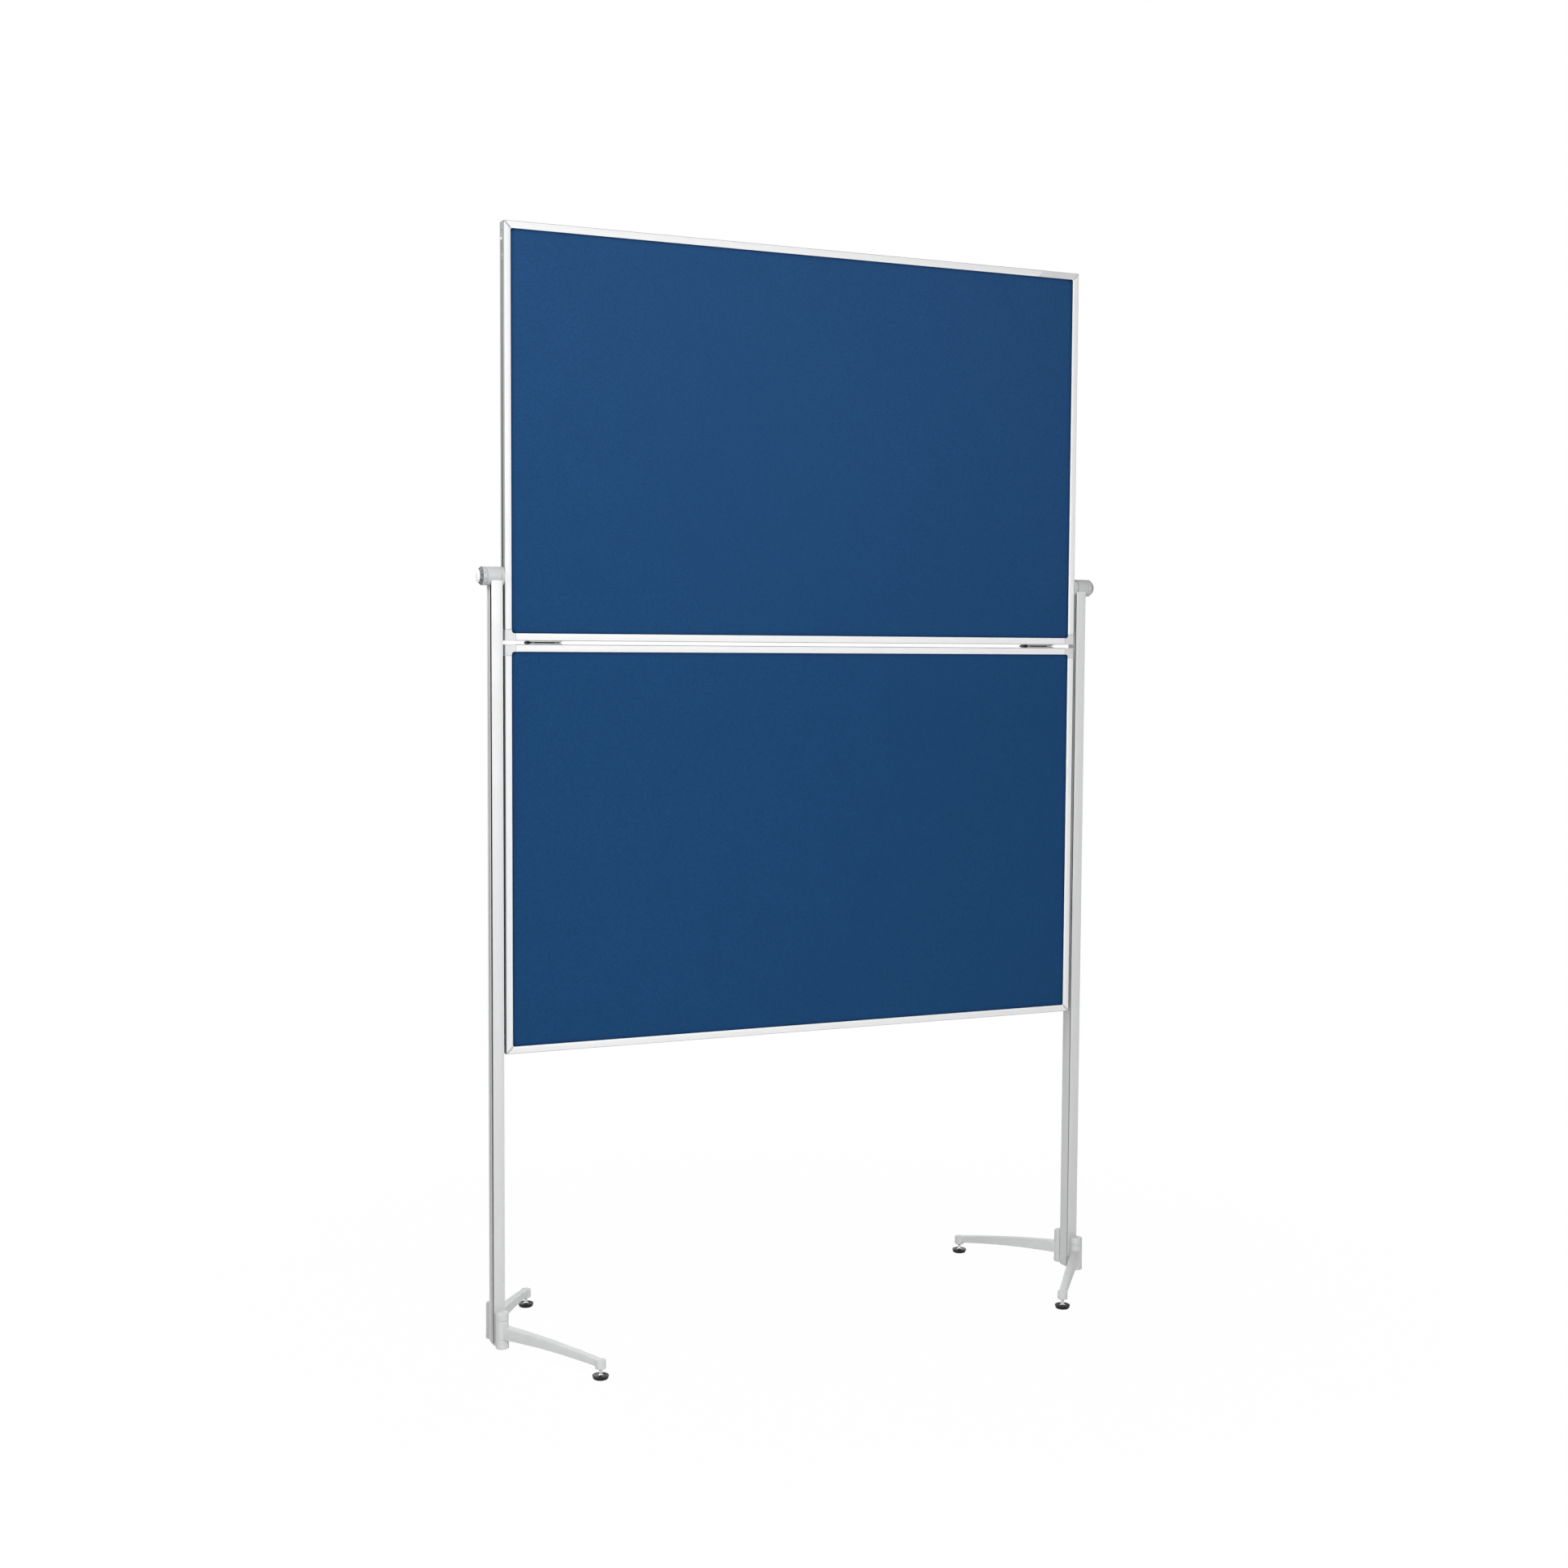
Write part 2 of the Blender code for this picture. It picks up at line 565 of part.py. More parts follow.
def clamp_knob(name, side):
    # A plain ring, then a bulged cone with finger flutes down to the nose that carries the cap.
    ring_end = KNOB_START + KNOB_RING_LENGTH
    middle = ring_end + KNOB_CHAMFER_LENGTH / 2
    middle_drop_share = 1 / 3
    cone = CLAMP_RADIUS - KNOB_NOSE_RADIUS
    ring = [
        (KNOB_START, CLAMP_RADIUS - KNOB_EDGE),
        (KNOB_START + KNOB_EDGE, CLAMP_RADIUS),
        (ring_end, CLAMP_RADIUS),
    ]
    grip = [(middle, CLAMP_RADIUS - cone * middle_drop_share), (KNOB_END, KNOB_NOSE_RADIUS)]
    profile = [(side * along, radius) for along, radius in ring + grip]

    def fluted(index, radius, angle):
        if index < len(ring):
            return radius
        return radius - KNOB_FLUTE_DEPTH * (1 + math.cos(KNOB_FLUTES * angle)) / 2

    body = turned(name, profile, (0, 0, CLAMP_Z), "X", FLUTE_SIDES * KNOB_FLUTES, fluted)
    tip = ring_end + SEAT
    ends = [(side * (KNOB_START - OVERRUN), SHANK_RADIUS + SEAT), (side * tip, SHANK_RADIUS + SEAT)]
    return cut(body, turned("bore", ends, (0, 0, CLAMP_Z), "X", SMALL_SIDES))


def knob_cap(name, side):
    # A low dome on the knob's nose: rings of a quarter ellipse.
    start = KNOB_END + SEAT
    profile = [(side * start, KNOB_CAP_RADIUS)]
    for step in range(ARC_STEPS):
        angle = math.pi / 2 * (step + 1) / (ARC_STEPS + 1)
        along = start + KNOB_CAP_HEIGHT * math.sin(angle)
        profile.append((side * along, KNOB_CAP_RADIUS * math.cos(angle)))
    return turned(name, profile, (0, 0, CLAMP_Z), "X", ROUND_SIDES)


def clamp(hand, side, parent):
    axis = (side * POST_CENTRE, 0, CLAMP_Z)
    settle(clamp_housing(f"{hand}_clamp_housing", side), CAST_GREY, axis, parent)
    settle(clamp_bolt(f"{hand}_clamp_bolt", side), BRIGHT_STEEL, axis, parent)
    settle(clamp_knob(f"{hand}_clamp_knob", side), KNOB_GREY, axis, parent)
    settle(knob_cap(f"{hand}_knob_cap", side), CAP_WHITE, axis, parent)


def hub_lug(bottom, height, top_round):
    # One ear of the bracket round the pin, with a rounded rim at its top or a plain one.
    if top_round:
        rim = arc((bottom + height - HUB_ROUND, HUB_RADIUS - HUB_ROUND), HUB_ROUND, 1, 0)
        profile = [(bottom, HUB_RADIUS), *rim]
    else:
        foot = HUB_RADIUS + LOWER_LUG_FLARE
        profile = [(bottom, foot - BOSS_ROUND), (bottom + BOSS_ROUND, foot), (bottom + height, HUB_RADIUS)]
    lug = turned("lug", profile, (0, 0, 0), "Z", ROUND_SIDES)
    x = HUB_WEB_WIDTH / 2
    inner = -PIVOT_OUT + POST_DEPTH / 2 + SEAT
    top = bottom + height - (HUB_ROUND if top_round else 0)
    low = bottom + (0 if top_round else BOSS_ROUND)
    return join(lug, box("neck", (-x, inner, low), (x, 0, top)))


def hub_bracket(name):
    # In its own frame: the pin's axis at the origin, the post towards -Y.
    x = HUB_WEB_WIDTH / 2
    inner = -PIVOT_OUT + POST_DEPTH / 2 + SEAT
    bracket = box(
        name,
        (-x, inner, HUB_BOTTOM_Z + BOSS_ROUND),
        (x, inner + HUB_WEB_THICKNESS, HUB_TOP_Z - HUB_ROUND),
    )
    join(bracket, hub_lug(HUB_BOTTOM_Z, LOWER_LUG_HEIGHT, False))
    join(bracket, hub_lug(UPPER_LUG_Z, UPPER_LUG_HEIGHT, True))
    radius = HUB_PIN_RADIUS + SEAT
    ends = (HUB_BOTTOM_Z - OVERRUN, radius), (HUB_TOP_Z - HUB_ROUND, radius)
    return cut(bracket, turned("bore", ends, (0, 0, 0), "Z", SMALL_SIDES))


def hub_pin(name):
    ends = (HUB_BOTTOM_Z + SEAT, HUB_PIN_RADIUS), (HUB_TOP_Z - HUB_ROUND - SEAT, HUB_PIN_RADIUS)
    return turned(name, ends, (0, 0, 0), "Z", SMALL_SIDES)


def arm_section(share):
    # The arm's section at a share of its length: a rectangle with its edges taken off.
    width = ARM_ROOT_WIDTH + (ARM_TIP_WIDTH - ARM_ROOT_WIDTH) * share
    bow = 4 * share * (1 - share)
    tip_top = BOSS_TOP_Z - BOSS_ROUND
    root_top = KNUCKLE_BOTTOM_Z + ARM_ROOT_HEIGHT
    top = root_top + (tip_top - root_top) * share + ARM_TOP_ARCH * bow
    tip_bottom = tip_top - ARM_TIP_HEIGHT
    bottom = KNUCKLE_BOTTOM_Z + (tip_bottom - KNUCKLE_BOTTOM_Z) * share + ARM_UNDER_ARCH * bow
    y, e = width / 2, ARM_EDGE
    right = [(y - e, bottom), (y, bottom + e), (y, top - e), (y - e, top)]
    return right + [(-a, b) for a, b in reversed(right)]


def arm(name):
    # In its own frame: the pin's axis at the origin, the arm along +X.
    steps = 2 * ARC_STEPS
    loops = []
    for step in range(steps + 1):
        share = step / steps
        loops.append([(ARM_LENGTH * share, y, z) for y, z in arm_section(share)])
    beam = loft(name, loops)
    ends = (KNUCKLE_BOTTOM_Z, HUB_RADIUS), (KNUCKLE_TOP_Z, HUB_RADIUS)
    join(beam, turned("knuckle", ends, (0, 0, 0), "Z", ROUND_SIDES))
    profile = [(BOSS_BOTTOM_Z, BOSS_RADIUS - BOSS_ROUND / 2), (BOSS_BOTTOM_Z + BOSS_ROUND / 2, BOSS_RADIUS)]
    profile += arc((BOSS_TOP_Z - BOSS_ROUND, BOSS_RADIUS - BOSS_ROUND), BOSS_ROUND, 1, 0)
    join(beam, turned("boss", profile, (ARM_LENGTH, 0, 0), "Z", ROUND_SIDES))
    bore = HUB_PIN_RADIUS + SEAT
    ends = (KNUCKLE_BOTTOM_Z - OVERRUN, bore), (KNUCKLE_TOP_Z + OVERRUN, bore)
    cut(beam, turned("bore", ends, (0, 0, 0), "Z", SMALL_SIDES))
    bore = STUD_RADIUS + SEAT
    ends = (BOSS_BOTTOM_Z - OVERRUN, bore), (BOSS_TOP_Z - BOSS_ROOF, bore)
    return cut(beam, turned("bore", ends, (ARM_LENGTH, 0, 0), "Z", SMALL_SIDES))


def levelling_stud(name):
    # A plain stud with a flared skirt that rests on the pad.
    base = PAD_HEIGHT - PAD_DISH_DEPTH + SEAT
    profile = [
        (base, STUD_FLARE_RADIUS),
        (base + STUD_FLARE_EDGE, STUD_FLARE_RADIUS),
        (base + STUD_FLARE_HEIGHT, STUD_RADIUS),
        (BOSS_BOTTOM_Z + STUD_ENGAGED, STUD_RADIUS),
    ]
    return turned(name, profile, (ARM_LENGTH, 0, 0), "Z", SMALL_SIDES)


def levelling_pad(name):
    # A rubber disc, narrower at the floor, with a shallow dish in its top.
    profile = [
        (0, PAD_RADIUS - PAD_TAPER - PAD_EDGE),
        (PAD_EDGE, PAD_RADIUS - PAD_TAPER),
        (PAD_HEIGHT - PAD_EDGE, PAD_RADIUS),
        (PAD_HEIGHT, PAD_RADIUS - PAD_EDGE),
        (PAD_HEIGHT, PAD_DISH_RADIUS),
        (PAD_HEIGHT - PAD_DISH_DEPTH, PAD_DISH_RADIUS - PAD_DISH_DEPTH),
    ]
    return turned(name, profile, (ARM_LENGTH, 0, 0), "Z", ROUND_SIDES)


def hang(piece, look, place):
    piece.parent = place
    smooth(piece)
    paint(piece, look)


def foot(hand, side, end, depth):
    # depth is -1 at the front and +1 at the rear of the post.
    axis = (side * POST_CENTRE, depth * PIVOT_OUT, 0)
    seat = pivot(f"{hand}_{end}_hub", axis, 0 if depth > 0 else math.pi)
    hang(hub_bracket(f"{hand}_{end}_hub_bracket"), CAST_GREY, seat)
    hang(hub_pin(f"{hand}_{end}_hub_pin"), BRIGHT_STEEL, seat)
    angle = RIGHT_ARM_ANGLE if side > 0 else LEFT_ARM_ANGLE
    inward = math.pi - angle if side > 0 else angle
    swivel = pivot(f"{hand}_{end}_swivel", axis, depth * inward)
    hang(arm(f"{hand}_{end}_arm"), CAST_GREY, swivel)
    hang(levelling_stud(f"{hand}_{end}_stud"), BRIGHT_STEEL, swivel)
    hang(levelling_pad(f"{hand}_{end}_pad"), BLACK_RUBBER, swivel)


def post_stand(hand, side):
    origin = (side * POST_CENTRE, 0, POST_BOTTOM_Z)
    carrier = pivot(f"{hand}_post_place", origin)
    settle(post(f"{hand}_post", side), POST_SILVER, origin, carrier)
    settle(end_cap(f"{hand}_post_end_cap", side), PALE_MOULDING, origin, carrier)
    clamp(hand, side, carrier)
    for end, depth in (("front", -1), ("rear", 1)):
        foot(hand, side, end, depth)


def build():
    for old in list(bpy.data.objects):
        bpy.data.objects.remove(old, do_unlink=True)
    fold = (0, FOLD_Y, FOLD_Z)
    lower = pivot("lower_panel_fold", fold)
    panel("upper", 1, (0, 0, FOLD_Z), None)
    panel("lower", -1, fold, lower)
    for hand, side in (("left", -1), ("right", 1)):
        hinge(hand, side, lower)
        post_stand(hand, side)


build()
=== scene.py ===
import json
import math

import bmesh
import bpy
from mathutils import Euler, Matrix, Quaternion, Vector, noise


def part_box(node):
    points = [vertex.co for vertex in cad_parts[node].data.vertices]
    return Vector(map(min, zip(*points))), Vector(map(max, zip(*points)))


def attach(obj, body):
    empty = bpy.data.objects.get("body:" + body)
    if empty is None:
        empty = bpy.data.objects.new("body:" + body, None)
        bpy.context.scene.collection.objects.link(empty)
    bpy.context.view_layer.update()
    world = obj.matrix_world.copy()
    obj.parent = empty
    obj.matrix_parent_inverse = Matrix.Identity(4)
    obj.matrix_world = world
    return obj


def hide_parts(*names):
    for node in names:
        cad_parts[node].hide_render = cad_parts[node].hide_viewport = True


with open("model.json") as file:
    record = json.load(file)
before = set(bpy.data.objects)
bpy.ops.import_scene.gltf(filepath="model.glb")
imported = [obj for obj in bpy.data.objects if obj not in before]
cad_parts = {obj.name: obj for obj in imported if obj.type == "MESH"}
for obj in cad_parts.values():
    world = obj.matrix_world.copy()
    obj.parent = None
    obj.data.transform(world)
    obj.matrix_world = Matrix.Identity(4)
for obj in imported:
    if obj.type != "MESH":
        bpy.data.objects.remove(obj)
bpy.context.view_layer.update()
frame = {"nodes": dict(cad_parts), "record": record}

bodyOf = {node: body for body, nodes in frame["record"]["behaviour"]["bodies"].items() for node in nodes}
sides = (("left", -1), ("right", 1))
upright = Vector((0, 0, 1))

view = {
    "place": (-1.681, -3.620, 1.286),
    "heading": 24.37,       # degrees to the right of straight ahead
    "dip": 3.66,            # degrees below level
    "roll": 0.31,
    "focalPixels": 2548,
    "imagePixels": 1932,
    "sensor": 36,
    "nearest": 0.05, "farthest": 60,
}

fine = {
    "hair": 0.0001,         # smallest step, also how near counts as on a plane
    "edge": 0.0003,         # small round on turned and cut edges
    "overrun": 0.002,       # how far a cutter passes the face it cuts
}


def setCamera():
    data = bpy.data.cameras.new("pinboardView")
    data.sensor_width = view["sensor"]
    data.lens = view["sensor"] * view["focalPixels"] / view["imagePixels"]
    data.clip_start = view["nearest"]
    data.clip_end = view["farthest"]
    camera = bpy.data.objects.new("pinboardView", data)
    aim = Euler((math.radians(90 - view["dip"]), 0, -math.radians(view["heading"]))).to_quaternion()
    camera.rotation_mode = "QUATERNION"
    camera.rotation_quaternion = aim @ Quaternion((0, 0, 1), math.radians(view["roll"]))
    camera.location = view["place"]
    bpy.context.scene.collection.objects.link(camera)
    bpy.context.scene.camera = camera


def newPiece(name, shape):
    bmesh.ops.recalc_face_normals(shape, faces=shape.faces)
    mesh = bpy.data.meshes.new(name)
    shape.to_mesh(mesh)
    shape.free()
    piece = bpy.data.objects.new(name, mesh)
    bpy.context.scene.collection.objects.link(piece)
    return piece


def loft(name, loops, marks=None, endMark=None):
    # closed loops joined in order, flat cap on each end; marks give each strip its finish number
    shape = bmesh.new()
    rings = [[shape.verts.new(point) for point in loop] for loop in loops]
    for step, (low, high) in enumerate(zip(rings, rings[1:])):
        atEnd = endMark is not None and step in (0, len(rings) - 2)
        for here in range(len(low)):
            there = (here + 1) % len(low)
            face = shape.faces.new((low[here], low[there], high[there], high[here]))
            if marks:
                face.material_index = endMark if atEnd and marks[here] in (0, 3) else marks[here]
    shape.faces.new(rings[0][::-1])
    shape.faces.new(rings[-1])
    return newPiece(name, shape)


def rounded(corners, steps=5):
    # outline from (x, y, radius) corners, each radius turned into an arc
    outline = []
    for here, (x, y, radius) in enumerate(corners):
        spot = Vector((x, y))
        if not radius:
            outline.append((x, y))
            continue
        back = (Vector(corners[here - 1][:2]) - spot).normalized()
        ahead = (Vector(corners[(here + 1) % len(corners)][:2]) - spot).normalized()
        half = back.angle(ahead) / 2
        centre = spot + (back + ahead).normalized() * radius / math.sin(half)
        first = spot + back * radius / math.tan(half) - centre
        last = spot + ahead * radius / math.tan(half) - centre
        turn = math.pi - 2 * half
        for step in range(steps + 1):
            share = step / steps
            arm = first * math.sin((1 - share) * turn) + last * math.sin(share * turn)
            outline.append(tuple(centre + arm / math.sin(turn)))
    return outline


def drawnIn(outline, amount):
    # the outline moved inward by the amount, for eased ends
    area = sum(a[0] * b[1] - b[0] * a[1] for a, b in zip(outline, outline[1:] + outline[:1]))
    sign = 1 if area > 0 else -1
    inner = []
    for here, point in enumerate(outline):
        before = Vector(point) - Vector(outline[here - 1])
        after = Vector(outline[(here + 1) % len(outline)]) - Vector(point)
        normals = [Vector((-edge.y, edge.x)).normalized() * sign for edge in (before, after)]
        lean = (normals[0] + normals[1]).normalized()
        inner.append(tuple(Vector(point) + lean * amount / max(0.5, lean.dot(normals[0]))))
    return inner


def arc(centreX, centreY, radius, start, end, steps=8):
    # arc points, angles in quarter turns
    turns = [(start + (end - start) * step / steps) * math.pi / 2 for step in range(steps + 1)]
    return [(centreX + radius * math.cos(turn), centreY + radius * math.sin(turn)) for turn in turns]


def turned(name, profile, axis, count, centre=(0, 0, 0), radiusAt=None):
    # (along, radius) profile turned round an axis through the centre
    loops = []
    for index, (along, radius) in enumerate(profile):
        loop = []
        for step in range(count):
            angle = 2 * math.pi * step / count
            reach = radiusAt(index, radius, angle) if radiusAt else radius
            a, b = reach * math.cos(angle), reach * math.sin(angle)
            offset = {"X": (along, a, b), "Y": (b, along, a), "Z": (a, b, along)}[axis]
            loop.append(Vector(centre) + Vector(offset))
        loops.append(loop)
    return loft(name, loops)


def roundStart(radius, start, ease, steps):
    # rounded first corner of a turned profile
    return [(along, reach) for reach, along in arc(radius - ease, start + ease, ease, -1, 0, steps)]


def roundEnd(radius, end, ease, steps):
    return [(along, reach) for reach, along in arc(radius - ease, end - ease, ease, 0, 1, steps)]


def rod(low, high, radius, ease):
    return [(low, radius - ease), (low + ease, radius), (high - ease, radius), (high, radius - ease)]


def combine(piece, tool, operation):
    step = piece.modifiers.new("step", "BOOLEAN")
    step.operation = operation
    step.solver = "EXACT"
    step.object = tool
    bpy.context.view_layer.update()
    graph = bpy.context.evaluated_depsgraph_get()
    mesh = bpy.data.meshes.new_from_object(piece.evaluated_get(graph))
    piece.modifiers.clear()
    piece.data = mesh
    bpy.data.objects.remove(tool, do_unlink=True)
    return piece


def drill(piece, start, end, radius, axis, count, centre):
    combine(piece, turned("bore", [(start, radius), (end, radius)], axis, count, centre), "DIFFERENCE")


def gather(name, pieces):
    # several closed forms in one mesh
    shape = bmesh.new()
    for piece in pieces:
        shape.from_mesh(piece.data)
        bpy.data.objects.remove(piece, do_unlink=True)
    return newPiece(name, shape)


def easeEdges(piece, width, angle):
    bevel = piece.modifiers.new("easedEdges", "BEVEL")
    bevel.width = width
    bevel.segments = 2
    bevel.limit_method = "ANGLE"
    bevel.angle_limit = math.radians(angle)
    bevel.use_clamp_overlap = True


def markAll(piece, number):
    for face in piece.data.polygons:
        face.material_index = number


def coat(piece, finishes):
    # each face keeps its finish number
    numbers = [face.material_index for face in piece.data.polygons]
    piece.data.materials.clear()
    for finish in finishes:
        piece.data.materials.append(finish)
    if len(finishes) > 1:
        piece.data.polygons.foreach_set("material_index", numbers)


def settle(piece, finishes, *nodes, sharp=30):
    # smooth shading, finish and body, and the CAD nodes that the piece stands for, which it hides
    piece.data.shade_smooth()
    piece.data.set_sharp_from_angle(angle=math.radians(sharp))
    coat(piece, finishes)
    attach(piece, bodyOf[nodes[0]])
    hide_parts(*nodes)
    return piece


def middle(node):
    low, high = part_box(node)
    return (low + high) / 2


def newFinish(name, color, roughness, metallic=0.0, **sockets):
    finish = bpy.data.materials.new(name)
    finish.use_nodes = True
    shader = finish.node_tree.nodes["Principled BSDF"]
    shader.inputs["Base Color"].default_value = (*color, 1)
    shader.inputs["Roughness"].default_value = roughness
    shader.inputs["Metallic"].default_value = metallic
    for socket, value in sockets.items():
        shader.inputs[socket.replace("_", " ")].default_value = value
    return finish


def addNode(finish, kind, **values):
    node = finish.node_tree.nodes.new("ShaderNode" + kind)
    for key, value in values.items():
        if key in node.inputs:
            node.inputs[key].default_value = value
        else:
            setattr(node, key, value)
    return node


def link(finish, source, target):
    finish.node_tree.links.new(source, target)


def grain(finish, scale, detail=3.0, stretch=(1, 1, 1), rough=0.55):
    # noise in the part's own metres; stretch below 1 draws it out along that axis
    place = addNode(finish, "TexCoord")
    mapping = addNode(finish, "Mapping")
    mapping.inputs["Scale"].default_value = stretch
    link(finish, place.outputs["Object"], mapping.inputs["Vector"])
    texture = addNode(finish, "TexNoise", Scale=scale, Detail=detail, Roughness=rough)
    link(finish, mapping.outputs["Vector"], texture.inputs["Vector"])
    return texture.outputs["Fac"]


def heightAbove(finish):
    place = addNode(finish, "TexCoord")
    parts = addNode(finish, "SeparateXYZ")
    link(finish, place.outputs["Object"], parts.inputs["Vector"])
    return parts.outputs["Z"]


def spread(finish, value, low, high, fromLow=0.3, fromHigh=0.7):
    reach = addNode(finish, "MapRange")
    link(finish, value, reach.inputs["Value"])
    for socket, amount in zip(("From Min", "From Max", "To Min", "To Max"), (fromLow, fromHigh, low, high)):
        reach.inputs[socket].default_value = amount
    return reach.outputs["Result"]


def larger(finish, first, second):
    most = addNode(finish, "Math", operation="MAXIMUM")
    link(finish, first, most.inputs[0])
    link(finish, second, most.inputs[1])
    return most.outputs[0]


def blendColors(finish, factor, first, second, mode="MIX"):
    # either colour may be a value or another node's output
    mix = addNode(finish, "Mix", data_type="RGBA", blend_type=mode)
    colorSockets = [socket for socket in mix.inputs if socket.type == "RGBA"]
    for socket, color in zip(colorSockets, (first, second)):
        if isinstance(color, tuple):
            socket.default_value = (*color, 1)
        else:
            link(finish, color, socket)
    if isinstance(factor, float):
        mix.inputs[0].default_value = factor
    else:
        link(finish, factor, mix.inputs[0])
    return next(socket for socket in mix.outputs if socket.type == "RGBA")


def toShader(finish, socket, value):
    link(finish, value, finish.node_tree.nodes["Principled BSDF"].inputs[socket])


def raiseGrain(finish, heights):
    # (value, strength, distance) bumps, one on top of the other
    normal = None
    for value, strength, distance in heights:
        bump = addNode(finish, "Bump", Strength=strength, Distance=distance)
        link(finish, value, bump.inputs["Height"])
        if normal:
            link(finish, normal, bump.inputs["Normal"])
        normal = bump.outputs["Normal"]
    toShader(finish, "Normal", normal)


def patterned(name, low, high, tone, dull, dullGrain, relief, reliefGrain, metal=0.0, shine=0.5):
    # colour, roughness and relief, each by a (scale, detail, stretch, rough) grain of its own
    finish = newFinish(name, low, sum(dull) / 2, metal, Specular_IOR_Level=shine)
    share = spread(finish, grain(finish, *tone), 0.0, 1.0)
    toShader(finish, "Base Color", blendColors(finish, share, low, high))
    toShader(finish, "Roughness", spread(finish, grain(finish, *dullGrain), *dull))
    raiseGrain(finish, [(grain(finish, *reliefGrain), *relief)])
    return finish


def makeGrooveShadeFinish():
    # painted shade inside the grooves, lifted by painted light near the floor and towards the top
    shade = newFinish("groovePaintedShade", (0.035, 0.036, 0.038), 0.7, Specular_IOR_Level=0.1)
    height = heightAbove(shade)
    nearFloor = spread(shade, height, 0.85, 0.0, 0.05, 0.75)
    nearTop = spread(shade, height, 0.0, 1.0, 1.45, 2.0)
    paintedLight = larger(shade, nearFloor, nearTop)
    toShader(shade, "Base Color", blendColors(shade, paintedLight, (0.040, 0.041, 0.043), (0.50, 0.505, 0.51)))
    toShader(shade, "Roughness", spread(shade, grain(shade, 300, 4), 0.5, 0.72))
    raiseGrain(shade, [(grain(shade, 700, 3), 0.08, 0.0002)])
    return shade


def makeFeltFinish():
    # dyed felt: pressed fibres with a fine mottle; painted shade where it rolls under the frame, and a
    # painted sheen that makes it paler towards the top
    felt = newFinish("blueFelt", (0.018, 0.066, 0.175), 0.95, Specular_IOR_Level=0.12, Sheen_Weight=0.03)
    shader = felt.node_tree.nodes["Principled BSDF"]
    shader.inputs["Sheen Roughness"].default_value = 0.6
    shader.inputs["Sheen Tint"].default_value = (0.4, 0.62, 0.95, 1)
    mottle = grain(felt, 520, 3, (1, 1, 1), 0.6)
    small = grain(felt, 190, 3)
    broad = grain(felt, 11, 3)
    fibre = grain(felt, 900, 4, (0.6, 1, 1), 0.7)
    # painted sheen: the felt is paler and greyer towards the top of the board
    height = spread(felt, heightAbove(felt), 0.0, 1.0, 1.15, 2.1)
    dark = blendColors(felt, height, (0.0074, 0.0468, 0.130), (0.0134, 0.0598, 0.160))
    light = blendColors(felt, height, (0.0121, 0.0680, 0.189), (0.0220, 0.0866, 0.233))
    base = blendColors(felt, spread(felt, mottle, 0.0, 1.0, 0.28, 0.72), dark, light)
    patch = blendColors(felt, spread(felt, small, 0.0, 1.0), (0.97, 0.973, 0.975), (1.03, 1.027, 1.025))
    drift = blendColors(felt, spread(felt, broad, 0.0, 1.0), (0.975, 0.98, 0.985), (1.02, 1.015, 1.01))
    base = blendColors(felt, 1.0, base, patch, "MULTIPLY")
    base = blendColors(felt, 1.0, base, drift, "MULTIPLY")
    # painted shade along the frame's lip, from the sheet's own values
    lipShadeAttribute = addNode(felt, "Attribute", attribute_name="feltPaintedShade")
    toShader(felt, "Base Color", blendColors(felt, lipShadeAttribute.outputs["Fac"], base, (0.0042, 0.026, 0.088)))
    raiseGrain(felt, [(fibre, 0.26, 0.0005), (small, 0.08, 0.0006)])
    return felt


